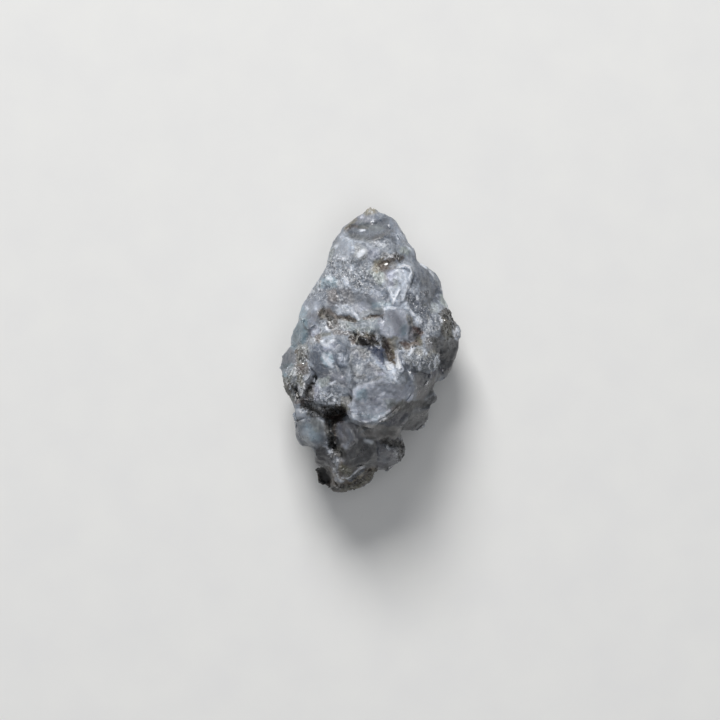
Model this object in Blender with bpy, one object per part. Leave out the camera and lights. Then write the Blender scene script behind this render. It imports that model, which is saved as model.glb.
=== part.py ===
"""Rough alexandrite crystal: one natural stone of broken, stepped blocks, lying on its flat back.

The long axis runs along Y with the pointed cap at +Y, X runs across, and Z rises from the flat
rest face to the rugged front. The stone is shaped in millimetres and scaled to metres at the end.
"""
import bmesh
import bpy
import numpy as np
from mathutils import Vector, kdtree

# Driving dimensions
STONE_LENGTH_MM = 16.2
REST_LEVEL_MM = 0.0
METRES_PER_MM = 0.001

# The drawing grid: places are (across, down, height in mm), and down grows towards the foot.
GRID_STEPS_TALL = 285.0
GRID_CENTRE_ACROSS = 370.5
GRID_CENTRE_DOWN = 349.5
MM_PER_STEP = STONE_LENGTH_MM / GRID_STEPS_TALL

# Mesh sizes
VOXEL_MM = 0.13
MAX_TRIANGLES = 8800
SHORTEST_EDGE_MM = 0.004

# What the chips take off is added to every block first.
BLOCK_ALLOWANCE_MM = 0.10

# Chipped facets: flats broke off the bulges, the large ones first.
CHIP_SEED = 31
CHIP_ROUNDS = [
    # how many, reach in mm, depth in mm
    (130, 1.25, 0.09),
    (320, 0.7, 0.05),
]
CHIP_TILT = 0.22
CHIP_EDGE_SHARE = 0.35
CHIP_MOST_DEPTHS = 2.0

# Blocks: the corner points of each convex piece of the grown and broken crystal.
BLOCKS = {
    "heart": [
        (352, 262, 6.0), (396, 262, 6.0), (420, 300, 5.9), (432, 330, 5.6), (424, 372, 5.8),
        (398, 405, 6.3), (362, 412, 6.4), (328, 398, 5.6), (306, 372, 5.0), (312, 332, 5.2),
        (330, 292, 5.4), (376, 330, 6.8), (334, 322, 6.2), (346, 384, 6.7), (404, 366, 6.9),
        (438, 300, 3.3), (449, 332, 3.3), (433, 384, 3.3), (410, 424, 3.1), (384, 446, 3.1),
        (326, 450, 3.3), (297, 420, 3.2), (287, 372, 3.2), (299, 322, 3.2), (319, 280, 3.4),
        (342, 244, 3.5), (404, 248, 3.5),
        (346, 246, 2.2), (404, 248, 2.2), (440, 300, 2.0), (446, 340, 1.8), (430, 384, 1.6),
        (400, 430, 1.8), (340, 450, 2.0), (304, 418, 1.8), (290, 372, 1.8), (300, 322, 2.0),
        (322, 280, 2.2), (372, 262, 0.9), (410, 296, 0.2), (422, 340, -0.5), (404, 392, -0.6),
        (352, 420, -0.5), (318, 384, -0.3), (326, 322, -0.2), (360, 288, 0.0),
    ],
    "cap": [
        (367, 209, 4.0), (373, 209, 4.0), (361, 214, 3.7), (343, 227, 3.5), (342, 233, 3.4),
        (385, 217, 4.3), (391, 219, 4.0), (398, 227, 3.6), (405, 238, 3.5), (354, 238, 5.0),
        (380, 234, 5.3), (400, 246, 4.9), (368, 216, 3.1), (352, 232, 2.2), (396, 234, 2.2),
        (374, 250, 1.4), (346, 250, 3.6), (410, 250, 3.6),
    ],
    "cap_step": [
        (350, 236, 4.9), (366, 241, 5.7), (384, 238, 5.8), (396, 234, 5.1), (404, 248, 5.2),
        (392, 256, 6.2), (360, 252, 6.1), (346, 246, 5.3), (374, 246, 4.0),
    ],
    "collar": [
        (342, 232, 3.9), (333, 242, 3.6), (328, 252, 3.4), (328, 266, 3.4), (343, 240, 5.2),
        (322, 280, 3.5), (331, 264, 5.0), (334, 250, 4.6),
        (352, 256, 6.3), (392, 252, 6.1), (410, 246, 4.5), (413, 250, 3.6), (418, 259, 3.5),
        (384, 262, 6.3), (340, 272, 5.7), (344, 250, 1.9), (404, 256, 1.8), (372, 268, 1.1),
    ],
    "upper_face": [
        (330, 262, 4.8), (322, 278, 3.7), (312, 292, 3.5), (305, 303, 3.5), (350, 262, 6.2),
        (381, 268, 6.4), (338, 290, 6.2), (334, 306, 6.1), (358, 318, 6.8), (378, 312, 7.0),
        (398, 307, 6.9), (394, 280, 6.7), (316, 306, 5.3), (330, 290, 1.6), (312, 306, 2.4),
        (380, 300, 1.2),
    ],
    "veil_panel": [
        (384, 274, 6.6), (402, 266, 6.4), (411, 269, 6.2), (412, 290, 6.5), (406, 305, 6.9),
        (392, 308, 7.1), (382, 296, 6.9), (396, 284, 4.0),
    ],
    "right_shoulder": [
        (404, 256, 5.2), (416, 257, 3.7), (427, 268, 3.5), (438, 278, 3.4), (441, 288, 3.4),
        (446, 300, 3.3), (411, 270, 5.9), (412, 296, 6.2), (404, 318, 6.5), (430, 296, 4.9),
        (426, 322, 5.7), (440, 316, 4.4), (430, 280, 1.6), (442, 306, 1.8), (410, 290, 1.0),
    ],
    "right_flank": [
        (441, 296, 3.9), (446, 300, 3.6), (451, 310, 3.4), (458, 323, 3.2), (461, 331, 3.2),
        (459, 338, 3.3), (446, 318, 5.0), (440, 334, 5.5), (424, 328, 5.9), (428, 346, 6.1),
        (448, 342, 4.7), (452, 318, 1.9), (456, 334, 2.1), (430, 330, 1.0),
    ],
    "belly": [
        (344, 320, 6.5), (378, 314, 6.9), (402, 310, 6.9), (412, 320, 6.8), (411, 342, 6.8),
        (386, 340, 7.2), (352, 334, 6.9), (380, 352, 6.6), (372, 330, 4.0), (408, 330, 3.5),
    ],
    "left_lobe": [
        (304, 303, 3.5), (300, 322, 3.0), (290, 338, 3.1), (292, 346, 3.2), (312, 300, 4.9),
        (324, 306, 6.0), (340, 318, 6.5), (318, 340, 6.2), (304, 344, 5.4), (297, 332, 4.7),
        (308, 318, 5.5), (302, 336, 1.6), (312, 316, 1.5), (326, 340, 3.0),
    ],
    "left_middle": [
        (291, 345, 3.6), (283, 356, 3.2), (280, 370, 3.1), (281, 382, 3.3), (298, 348, 5.2),
        (312, 350, 6.3), (292, 366, 5.0), (290, 380, 4.9), (306, 384, 6.2), (318, 372, 6.6),
        (300, 364, 1.4), (290, 376, 1.7), (316, 380, 3.0),
    ],
    "left_front": [
        (312, 338, 6.2), (334, 332, 6.7), (352, 340, 6.7), (356, 358, 6.9), (350, 376, 7.0),
        (330, 388, 7.0), (314, 374, 6.6), (326, 352, 7.1), (340, 352, 7.1), (334, 362, 4.0),
    ],
    "left_grains": [
        (281, 380, 3.5), (285, 396, 3.3), (290, 406, 3.3), (292, 415, 3.4), (294, 384, 5.3),
        (312, 384, 6.5), (338, 384, 7.0), (348, 392, 7.0), (346, 405, 6.9), (318, 403, 6.5),
        (350, 380, 6.9), (300, 402, 5.6), (306, 408, 2.0), (296, 396, 1.9), (330, 400, 3.4),
    ],
    "shield": [
        (352, 370, 7.1), (366, 356, 7.0), (380, 358, 7.3), (394, 364, 7.6), (410, 374, 7.4),
        (417, 386, 7.1), (412, 396, 7.2), (402, 406, 7.3), (388, 419, 7.5), (371, 425, 7.6),
        (354, 420, 7.5), (345, 411, 7.1), (350, 392, 7.4), (368, 382, 8.1), (392, 380, 8.1),
        (396, 398, 7.9), (360, 404, 7.9), (372, 427, 6.9), (352, 422, 6.8), (360, 380, 4.6),
        (404, 390, 4.6), (372, 414, 4.6),
    ],
    "shard": [
        (391, 374, 7.7), (398, 350, 7.3), (401, 352, 7.2), (405, 375, 7.7), (398, 376, 8.4),
        (398, 362, 8.1), (398, 374, 6.0), (399, 354, 6.4),
    ],
    "frosty_lumps": [
        (404, 348, 6.6), (413, 344, 6.8), (426, 345, 6.5), (438, 352, 5.9), (440, 362, 5.8),
        (430, 370, 6.3), (412, 366, 7.1), (420, 356, 7.2), (418, 356, 4.0), (436, 360, 3.4),
    ],
    "violet_flank": [
        (398, 354, 7.2), (410, 366, 7.1), (440, 362, 5.3), (442, 370, 4.6), (436, 384, 4.2),
        (428, 398, 4.0), (412, 402, 5.8), (416, 388, 6.9), (406, 376, 7.3), (430, 384, 2.0),
        (414, 396, 2.4),
    ],
    "right_plate": [
        (446, 330, 4.7), (459, 334, 3.7), (458, 342, 3.3), (457, 357, 3.1), (452, 367, 3.0),
        (450, 375, 2.9), (446, 382, 2.9), (440, 379, 3.3), (436, 348, 5.3), (446, 350, 4.8),
        (438, 370, 4.4), (448, 356, 1.6), (440, 344, 1.2), (430, 350, 2.4),
    ],
    "nub": [
        (422, 392, 4.4), (432, 393, 4.3), (438, 396, 3.7), (436, 402, 3.4), (428, 405, 3.6),
        (422, 402, 4.4), (430, 396, 2.4), (420, 396, 2.6),
    ],
    "wedge": [
        (414, 398, 5.2), (428, 404, 3.7), (428, 412, 3.5), (425, 424, 3.2), (414, 433, 3.0),
        (405, 433, 3.2), (396, 424, 4.6), (400, 408, 6.0), (412, 410, 5.4), (404, 420, 1.7),
        (418, 416, 1.7),
    ],
    "under_shield": [
        (352, 412, 6.2), (392, 412, 6.3), (406, 412, 5.5), (404, 432, 4.2), (392, 442, 4.2),
        (366, 436, 5.2), (350, 430, 5.4), (376, 426, 2.0), (396, 426, 1.8),
    ],
    "foot_core": [
        (322, 416, 4.4), (372, 416, 4.9), (388, 432, 3.9), (374, 466, 3.6), (344, 474, 3.7),
        (324, 464, 3.4), (308, 430, 3.9), (330, 420, 0.9), (368, 420, 0.7), (366, 458, 1.2),
        (336, 462, 1.4), (316, 440, 1.6),
    ],
    "lower_glass": [
        (334, 422, 5.5), (352, 416, 6.3), (372, 432, 5.9), (378, 442, 5.7), (378, 462, 4.9),
        (366, 467, 5.1), (350, 468, 5.2), (341, 454, 5.6), (352, 440, 6.2), (346, 436, 1.0),
        (366, 456, 1.3), (344, 462, 1.4),
    ],
    "lower_left_lobe": [
        (292, 412, 3.6), (292, 426, 3.3), (296, 440, 3.2), (303, 447, 3.4), (314, 450, 3.9),
        (298, 408, 4.6), (310, 410, 5.3), (322, 416, 5.8), (330, 432, 5.8), (328, 448, 5.2),
        (304, 434, 5.4), (316, 442, 5.8), (304, 420, 1.6), (314, 438, 1.5),
    ],
    "panel": [
        (314, 446, 4.7), (326, 444, 5.3), (335, 450, 5.4), (335, 466, 5.0), (317, 467, 4.5),
        (313, 456, 4.0), (320, 456, 1.9), (332, 458, 1.7),
    ],
    "right_foot": [
        (378, 440, 5.0), (392, 436, 4.6), (404, 439, 3.9), (405, 455, 3.5), (399, 462, 3.3),
        (394, 465, 3.2), (388, 473, 3.0), (383, 471, 3.2), (376, 466, 4.1), (384, 452, 5.3),
        (394, 454, 4.8), (386, 458, 1.6), (396, 448, 1.7),
    ],
    "bottom": [
        (316, 466, 3.3), (312, 470, 2.9), (316, 478, 2.7), (321, 486, 2.6), (328, 492, 2.5),
        (342, 493, 2.6), (355, 491, 2.7), (367, 485, 2.9), (378, 471, 3.3), (334, 462, 4.8),
        (340, 482, 4.6), (354, 476, 4.6), (367, 467, 4.7), (332, 484, 1.4), (356, 482, 1.2),
        (344, 468, 0.8), (322, 474, 1.7), (316, 464, 3.6),
    ],
    "bottom_rim": [
        (332, 458, 5.2), (341, 456, 5.5), (344, 470, 5.3), (342, 485, 4.8), (335, 484, 4.7),
        (332, 470, 5.0), (338, 470, 3.0),
    ],
    "tip_nub": [
        (366, 208, 4.3), (368, 206, 4.2), (373, 206, 4.2), (375, 210, 4.2), (373, 213, 4.5),
        (367, 212, 4.5), (370, 210, 3.5),
    ],
}

# Crevices: each runs through its points as (across, down), half width in grid steps, depth in mm.
CREVICES = {
    "cap_arc": ([(376, 268), (383, 262), (394, 259), (401, 262)], 5.0, 0.45),
    "veil_corner": ([(381, 272), (388, 269)], 4.0, 0.35),
    "rim_left": ([(325, 313), (334, 319), (350, 321)], 4.0, 0.22),
    "rim_right": ([(360, 322), (372, 318), (379, 316)], 2.5, 0.35),
    "deep_hole": ([(357, 337), (366, 339), (375, 341)], 5.0, 1.7),
    "diagonal": ([(380, 344), (386, 351), (392, 361)], 3.5, 1.3),
    "red_pocket": ([(404, 330), (413, 334), (418, 342)], 6.0, 0.5),
    "plate_groove": ([(439, 352), (442, 360), (440, 372)], 3.0, 0.35),
    "nub_gap": ([(434, 386), (427, 391), (420, 399)], 4.0, 0.7),
    "left_spots": ([(313, 378), (311, 384), (307, 391), (308, 398)], 3.0, 0.7),
    "left_edge_spot": ([(296, 389), (297, 396), (303, 402)], 3.0, 0.5),
    "shield_left": ([(351, 393), (350, 403)], 2.5, 0.5),
    "black_crevice": ([(305, 406), (316, 409), (328, 411), (341, 411)], 4.0, 1.5),
    "black_crevice_deep": ([(328, 413), (339, 415)], 7.0, 1.9),
    "black_run": ([(331, 422), (333, 432), (338, 446), (341, 452)], 3.0, 0.6),
    "mica_pocket": ([(330, 444), (338, 452)], 5.0, 0.5),
    "lower_cavity": ([(322, 468), (322, 476), (325, 482)], 7.0, 1.3),
    "foot_notch": ([(386, 440), (394, 443), (402, 442)], 4.5, 1.2),
    "foot_gap": ([(379, 446), (379, 458)], 2.5, 0.5),
    "bottom_ledge": ([(345, 486), (354, 480), (361, 472), (370, 467)], 3.5, 0.5),
}

MATERIAL_NAME = "alexandrite_rough"
STONE_COLOUR = (0.235, 0.262, 0.305, 1.0)
STONE_ROUGHNESS = 0.38


def clear_scene():
    """Remove every object that the scene starts with."""
    for old in list(bpy.data.objects):
        bpy.data.objects.remove(old, do_unlink=True)


def on_grid(across, down):
    """The place of a grid point in millimetres."""
    x = (across - GRID_CENTRE_ACROSS) * MM_PER_STEP
    y = (GRID_CENTRE_DOWN - down) * MM_PER_STEP
    return x, y


def stone_material():
    """The blue-grey stone with its frosted, glassy break."""
    material = bpy.data.materials.new(MATERIAL_NAME)
    material.use_nodes = True
    shader = material.node_tree.nodes["Principled BSDF"]
    shader.inputs["Base Color"].default_value = STONE_COLOUR
    shader.inputs["Roughness"].default_value = STONE_ROUGHNESS
    shader.inputs["Metallic"].default_value = 0.0
    return material


def add_block(shell, corners):
    """Add the convex block that spans the corner points, with its allowance."""
    places = [Vector((*on_grid(across, down), height)) for across, down, height in corners]
    middle = sum(places, Vector()) / len(places)
    corner_verts = []
    for place in places:
        outward = (place - middle).normalized() * BLOCK_ALLOWANCE_MM
        corner_verts.append(shell.verts.new(place + outward))
    hull = bmesh.ops.convex_hull(shell, input=corner_verts, use_existing_faces=False)
    inside = [item for item in hull["geom_interior"] if isinstance(item, bmesh.types.BMVert)]
    bmesh.ops.delete(shell, geom=inside, context="VERTS")


def block_shell():
    """All the blocks as overlapping closed shells in one mesh."""
    mesh = bpy.data.meshes.new("blocks")
    for corners in BLOCKS.values():
        shell = bmesh.new()
        shell.from_mesh(mesh)
        add_block(shell, corners)
        bmesh.ops.recalc_face_normals(shell, faces=shell.faces)
        shell.to_mesh(mesh)
        shell.free()
    return mesh


def with_modifier(mesh, kind, **settings):
    """The mesh as one modifier leaves it."""
    holder = bpy.data.objects.new("holder", mesh)
    bpy.context.scene.collection.objects.link(holder)
    modifier = holder.modifiers.new(kind.lower(), kind)
    for name, value in settings.items():
        setattr(modifier, name, value)
    graph = bpy.context.evaluated_depsgraph_get()
    result = bpy.data.meshes.new_from_object(holder.evaluated_get(graph))
    bpy.data.objects.remove(holder, do_unlink=True)
    return result


def fused(mesh, voxel):
    """One closed skin around everything that overlaps."""
    return with_modifier(mesh, "REMESH", mode="VOXEL", voxel_size=voxel, adaptivity=0.0)


def points_of(mesh):
    """The vertices of a mesh as an array."""
    flat = np.empty(len(mesh.vertices) * 3)
    mesh.vertices.foreach_get("co", flat)
    return flat.reshape(-1, 3)


def normals_of(mesh):
    """The vertex normals of a mesh as an array."""
    flat = np.empty(len(mesh.vertices) * 3)
    mesh.vertices.foreach_get("normal", flat)
    return flat.reshape(-1, 3)


def move_points(mesh, points):
    """Write the vertices back to the mesh."""
    mesh.vertices.foreach_set("co", points.ravel())
    mesh.update()


def distance_to_path(points, path):
    """How far each point is, across and along the stone, from a run of straight pieces."""
    nearest = np.full(len(points), np.inf)
    for start, end in zip(path[:-1], path[1:]):
        start = np.array(start)
        run = np.array(end) - start
        along = np.clip(((points[:, :2] - start) @ run) / (run @ run), 0.0, 1.0)
        foot = start + along[:, None] * run
        nearest = np.minimum(nearest, np.linalg.norm(points[:, :2] - foot, axis=1))
    return nearest


def open_crevices(mesh):
    """Sink each crevice into the front of the stone."""
    points = points_of(mesh)
    facing = np.clip(normals_of(mesh)[:, 2] * 2.5, 0.0, 1.0)
    sunk = np.zeros(len(points))
    for path, half_width, depth in CREVICES.values():
        route = [on_grid(across, down) for across, down in path]
        share = distance_to_path(points, route) / (half_width * MM_PER_STEP)
        profile = np.clip(1.35 - share, 0.0, 1.0)
        sunk = np.maximum(sunk, depth * profile)
    points[:, 2] -= sunk * facing
    move_points(mesh, points)


def chip_facets(mesh):
    """Break flats off the bulges, each cut by its own slightly tilted plane."""
    chance = np.random.default_rng(CHIP_SEED)
    points = points_of(mesh)
    normals = normals_of(mesh)
    tree = kdtree.KDTree(len(points))
    for index, point in enumerate(points):
        tree.insert(point, index)
    tree.balance()
    for how_many, reach, depth in CHIP_ROUNDS:
        for site in chance.integers(0, len(points), how_many):
            facing = normals[site] + chance.normal(0.0, CHIP_TILT, 3)
            facing /= np.linalg.norm(facing)
            level = points[site] @ facing - depth * chance.uniform(0.5, 1.0)
            found = tree.find_range(Vector(points[site]), reach)
            near = [index for _, index, _ in found]
            apart = np.array([gap for _, _, gap in found]) / reach
            fade = np.clip((1.0 - apart) / CHIP_EDGE_SHARE, 0.0, 1.0)
            proud = np.clip(points[near] @ facing - level, 0.0, depth * CHIP_MOST_DEPTHS)
            points[near] -= (proud * fade)[:, None] * facing
    move_points(mesh, points)


def keep_largest_piece(body):
    """Delete the crumbs and closed bubbles, so that one skin is left."""
    unseen = set(body.verts)
    pieces = []
    while unseen:
        piece = set()
        front = [unseen.pop()]
        while front:
            vert = front.pop()
            piece.add(vert)
            for edge in vert.link_edges:
                other = edge.other_vert(vert)
                if other in unseen:
                    unseen.remove(other)
                    front.append(other)
        pieces.append(piece)
    pieces.sort(key=len)
    for piece in pieces[:-1]:
        bmesh.ops.delete(body, geom=list(piece), context="VERTS")


def flat_back(mesh):
    """Cut the back off level, so that the stone lies on one real face, and close it."""
    body = bmesh.new()
    body.from_mesh(mesh)
    keep_largest_piece(body)
    everything = body.verts[:] + body.edges[:] + body.faces[:]
    level = Vector((0.0, 0.0, REST_LEVEL_MM))
    cut = bmesh.ops.bisect_plane(
        body, geom=everything, plane_co=level, plane_no=Vector((0.0, 0.0, -1.0)), clear_outer=True
    )
    rim = [item for item in cut["geom_cut"] if isinstance(item, bmesh.types.BMEdge)]
    bmesh.ops.triangle_fill(body, edges=rim, use_beauty=True)
    bmesh.ops.remove_doubles(body, verts=body.verts, dist=SHORTEST_EDGE_MM)
    keep_largest_piece(body)
    bmesh.ops.triangulate(body, faces=body.faces)
    bmesh.ops.recalc_face_normals(body, faces=body.faces)
    body.to_mesh(mesh)
    body.free()


def alexandrite():
    """The whole stone as one closed solid in metres."""
    mesh = fused(block_shell(), VOXEL_MM)
    open_crevices(mesh)
    mesh = fused(mesh, VOXEL_MM)
    chip_facets(mesh)
    mesh = fused(mesh, VOXEL_MM)
    mesh = with_modifier(mesh, "TRIANGULATE")
    share = MAX_TRIANGLES / len(mesh.polygons)
    mesh = with_modifier(mesh, "DECIMATE", ratio=share)
    flat_back(mesh)
    points = points_of(mesh)
    low = points.min(axis=0)
    high = points.max(axis=0)
    points -= np.array([(low[0] + high[0]) / 2.0, (low[1] + high[1]) / 2.0, low[2]])
    move_points(mesh, points * METRES_PER_MM)
    mesh.name = "alexandrite"
    mesh.materials.clear()
    mesh.materials.append(stone_material())
    stone = bpy.data.objects.new("alexandrite", mesh)
    bpy.context.scene.collection.objects.link(stone)
    return stone


clear_scene()
alexandrite()
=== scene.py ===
"""Looks for the rough alexandrite: fine broken relief, frost, stains, mica flakes and sugary grains.

The stone lies on its back in the row frame, which is in metres: Y runs from the foot to the cap,
X across, Z up from the rest face. Its relief is worked out in millimetres.
"""

import math

import bmesh
import bpy
import numpy as np
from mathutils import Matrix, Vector


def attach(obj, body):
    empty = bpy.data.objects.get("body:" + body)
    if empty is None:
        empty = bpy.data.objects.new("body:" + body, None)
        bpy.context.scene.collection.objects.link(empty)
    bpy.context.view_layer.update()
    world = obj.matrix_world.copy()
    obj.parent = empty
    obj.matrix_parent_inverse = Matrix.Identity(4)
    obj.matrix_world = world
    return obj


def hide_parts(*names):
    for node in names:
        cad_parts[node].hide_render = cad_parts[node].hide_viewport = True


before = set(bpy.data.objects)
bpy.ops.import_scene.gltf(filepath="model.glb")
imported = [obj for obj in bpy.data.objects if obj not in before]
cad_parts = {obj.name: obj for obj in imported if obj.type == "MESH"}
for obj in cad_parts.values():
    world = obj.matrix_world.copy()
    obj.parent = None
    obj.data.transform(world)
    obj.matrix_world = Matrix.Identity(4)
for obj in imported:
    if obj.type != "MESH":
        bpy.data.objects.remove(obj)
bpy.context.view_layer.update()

NODE = "alexandrite"
BODY = "root"
MM = 0.001

# The drawing grid that the solid is laid out on: places are (across, down).
STONE_LENGTH_MM = 16.2
GRID_STEPS_TALL = 285.0
GRID_CENTRE_ACROSS = 370.5
GRID_CENTRE_DOWN = 349.5
MM_PER_STEP = STONE_LENGTH_MM / GRID_STEPS_TALL

# The view: the frame is 720 grid steps wide, and its middle is the grid point (360, 360).
FRAME_STEPS = 720.0
FRAME_MIDDLE = (360.0, 360.0)
LENS_MM = 200.0
SENSOR_MM = 36.0
OUTLINE_HEIGHT_MM = 3.6
CAMERA_HEIGHT_MM = OUTLINE_HEIGHT_MM + FRAME_STEPS * MM_PER_STEP * LENS_MM / SENSOR_MM
CLIP_START_MM = 5.0

# The lights: name, place in metres, power in watts, size in metres and tint.
LIGHTS = [
    ("key", (-0.06, 0.30, 0.26), 1.7, 0.16, (1.0, 0.99, 0.97)),
    ("overhead", (0.05, -0.04, 0.55), 0.8, 0.40, (0.98, 0.99, 1.0)),
]
SURROUND = {"Color": (0.85, 0.88, 0.92, 1.0), "Strength": 0.16}
FLOOR_HALF_M = 0.4
FLOOR_GAP_MM = 0.02

# The fine mesh of the stone: it is refined, broken into flats and then thinned to a limit.
VOXEL_MM = 0.06
SMOOTH_ROUNDS = 3
SMOOTH_SHARE = 0.5
LAST_SMOOTH_SHARE = 0.25
MOST_TRIANGLES = 172000
SHARP_FROM_DEG = 34.0
TINY = 1e-6

# The front is what the drawing grid describes. It starts at this height and is whole above the blend.
FRONT_FROM_MM = 0.8
FRONT_BLEND_MM = 0.8

# Whole numbers that scatter the noise, and how a cell's three places are packed into one key.
CELL_PRIMES = (73856093, 19349663, 83492791)
SALT_PRIME = 2654435761
MIXER = 73244475
LOW_BITS = 0xFFFFFFFF
HALF_BITS = 16
KEY_BITS = 10
KEY_MIDDLE = 512
KEY_MASK = 1023
LEAN_SALT = 40

# The layers of cloudy noise: how much finer each is, and its share.
CLOUD_LAYERS = [(1.0, 1.0), (2.1, 0.5), (4.3, 0.25)]

# Flats of the broken surface: cell size in millimetres, how far it is flattened, and the lean.
# Glass calms each size of flat by its own share. Two flats blend over FLAT_EDGE, and a point moves
# by FLAT_MOST at most, both as shares of a cell.
FLATS = [(0.8, 0.45, 0.12), (0.42, 0.45, 0.14), (0.26, 0.55, 0.28)]
GLASS_CALM = [0.35, 0.5, 0.7]
SUGAR_FLATS = [(0.2, 0.7, 0.5)]
FLAT_EDGE = 0.22
FLAT_MOST = 0.22
FLAT_LEAST_FACING = 0.4
FLAT_SALT = 11
FLAT_SALT_STEP = 100
MICA_SINK_MM = 0.03

# How far a drawn facet is flattened, by how much at most, and how far up the surface has to face.
FACET_FLATTEN = 0.6
FACET_MOST_MM = 0.3
FACET_FACES_UP = 0.25
UPRIGHT_TILT = 2.0

# How noise bends the edges of what is drawn: size and reach in millimetres.
WARP_SIZE_MM = 0.7
WARP_MM = 0.16
EDGE_WARP_SIZE_MM = 0.35
EDGE_WARP_MM = 0.09
FINER_WARP = 2.5
# The white chalk and its painted glints are bent by a finer noise of their own.
CHALK_AND_GLINT_WARP_SIZE_MM = 0.25
CHALK_AND_GLINT_WARP_MM = 0.04
TONE_SALT = 400
RELIEF_SALT = 500
CHALK_AND_GLINT_SALT = 290

# How strokes are laid: a stroke fades from half its radius to one and a half of it. The noise that
# breaks it up has one size. Then how full it is, how much noise breaks it and how far it may reach.
STROKE_FADE = 1.5
BREAK_UP_MM = 0.26
BREAK_UP_KINDS = 3
STROKE_BREAK = (1.25, 0.4, 1.3)
CHALK_AND_GLINT_BREAK = (1.3, 0.35, 1.2)
FACET_BREAK = 0.3

# Patches on the hidden sides: tone, size in millimetres, the noise level they start at, strength.
# A pale crust lies over them.
HIDDEN_PATCHES = [
    ("slate", 2.6, 0.0, 0.8),
    ("teal", 3.0, 0.15, 0.7),
    ("mauve", 2.4, 0.2, 0.6),
    ("milk", 1.5, 0.25, 0.7),
    ("smoke", 2.8, 0.25, 0.8),
    ("tan", 1.2, 0.45, 0.6),
]
HIDDEN_SALT = 300
HIDDEN_SALT_STEP = 10
HIDDEN_BLEND = 0.2
HIDDEN_STAIN = 0.85
PATCH_SALT = 9
PATCH_BLEND = 0.25
CRUST = {"size": 1.1, "above": 0.35, "blend": 0.3, "most": 0.6}

# Loose grains and flakes that sit in the surface, with their sizes in millimetres. They gather where
# their mask is strong, above a least height.
GRAIN_COUNT = 2600
GRAIN_SIZE = (0.03, 0.085)
GRAIN_SINK = 0.35
GRAIN_SHAPES = 7
GRAIN_CORNERS = 8
GRAIN_CORNER_REACH = (0.75, 1.0)
GRAIN_TONE_SPREAD = (0.7, 1.3)
GRAIN_BRIGHT_SHARE = 0.24
GRAIN_BRIGHTENED = 0.6
GRAIN_TONE_LIMITS = (0.0, 0.85)
FLAKE_COUNT = 1500
FLAKE_SIDES = 6
FLAKE_SIZE = (0.07, 0.16)
FLAKE_NARROWED = (0.5, 0.9)
FLAKE_THICK = 0.02
FLAKE_LEAN = 0.45
FLAKE_GREY = 0.5
FLAKE_TONE_SPREAD = (0.4, 1.7)
FLAKE_TONE_LIMITS = (0.01, 0.7)
PLACE_FOCUS = 1.5
PLACE_FROM_MM = 0.3
PIECE_SEED = 7

# A shard's corners: its foot at 0 and its tip at 1 along X, its half width along Y, its ridge up Z.
SHARD_CORNERS = [
    (0, 0, -0.9),
    (0.1, -1, -0.5),
    (0.15, 1, -0.55),
    (0.4, 0.15, 0.9),
    (0.65, -0.1, 0.8),
    (1, 0, 0.3),
]
TOP_NEIGHBOURS = 12

# Colours of the crystal and of what stains it, as they look on a screen in even light; some are also laid
# on as painted shade and painted highlights.
TONES = {
    "snow": (210, 213, 218),
    "frost": (188, 196, 209),
    "pearl": (180, 185, 198),
    "ice": (164, 174, 191),
    "milk": (175, 179, 184),
    "aqua": (148, 168, 181),
    "lilac": (152, 156, 173),
    "silver": (150, 157, 171),
    "sage": (157, 165, 165),
    "mist": (140, 147, 158),
    "dusk": (121, 121, 127),
    "flint": (105, 109, 112),
    "slate": (119, 127, 141),
    "shade": (99, 107, 121),
    "steel": (85, 92, 104),
    "navy": (72, 81, 104),
    "teal": (128, 150, 163),
    "mauve": (148, 151, 164),
    "plum": (98, 98, 107),
    "smoke": (96, 96, 99),
    "soot": (78, 78, 78),
    "umber": (80, 68, 56),
    "rust": (78, 58, 54),
    "umbra": (114, 113, 110),
    "ash": (160, 158, 156),
    "bark": (108, 96, 86),
    "moss": (112, 115, 110),
    "olive": (92, 90, 74),
    "tan": (138, 132, 116),
    "rose": (134, 126, 124),
    "black": (26, 25, 24),
}
WHITE = (216, 220, 228)
# White screened over the tone for frost, pale veins, the painted sparkle glints of the specks and the
# lighter flecks of the grains.
FROST_AND_SPARKLE_WHITE = (236, 238, 242)
DARK_VEIL = (150, 150, 154)
MICA_GREY = (124, 122, 116)
FLOOR_TONES = [(220, 220, 220), (223, 223, 222)]

# What light does in the crystal and in the mica.
CRYSTAL_IOR = 1.745
ABSORB_COLOUR = (168, 176, 186)
ABSORB_PER_METRE = 220.0
SCATTER_WEIGHT = 0.55
SCATTER_RADIUS = (0.85, 0.95, 1.0)
SCATTER_MM = 0.4
GRAIN_CLEAR = 0.12
MICA_IOR = 1.6
MICA_COAT = 0.3
FLOOR_ROUGHNESS = 0.75

# Sizes in millimetres of the noises in the materials, and how far they bend each other.
NOISE_MM = {"medium": 0.5, "fine": 0.15, "speck": 0.095, "grain": 0.06, "mica": 0.08, "floor": 3.0}
CELL_MM = {"patch": 0.4, "flat": 0.2, "grain": 0.12, "vein": 0.9}
BEND = {"loose": (0.35, 0.5), "grain": (0.1, 0.08), "vein": (0.8, 1.2)}

# Ranges in the crystal's nodes: what drives each, from low to high, and what it becomes there.
CALM_BY_GLASS = (0.0, 0.9, 1.0, 0.15)
PALE_BY_GREEN = (0.01, 0.12, 0.1, 1.0)
DARK_BY_NOISE = (0.48, 0.72, 0.0, 0.6)
FROST_BY_NOISE = (0.5, 0.72, 0.0, 1.0)
FROST_BY_SUGAR = (0.0, 1.0, 0.14, 0.5)
# The swings make cells lighter and darker: partly random tone and partly painted shading of facets that
# catch the light differently.
PATCH_SWING_BY_GLASS = (0.0, 0.9, 0.22, 0.1)
FLAT_SWING_BY_SUGAR = (0.0, 1.0, 0.1, 0.38)
CLUSTER_BY_NOISE = (0.36, 0.56, 0.25, 1.0)
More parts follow.
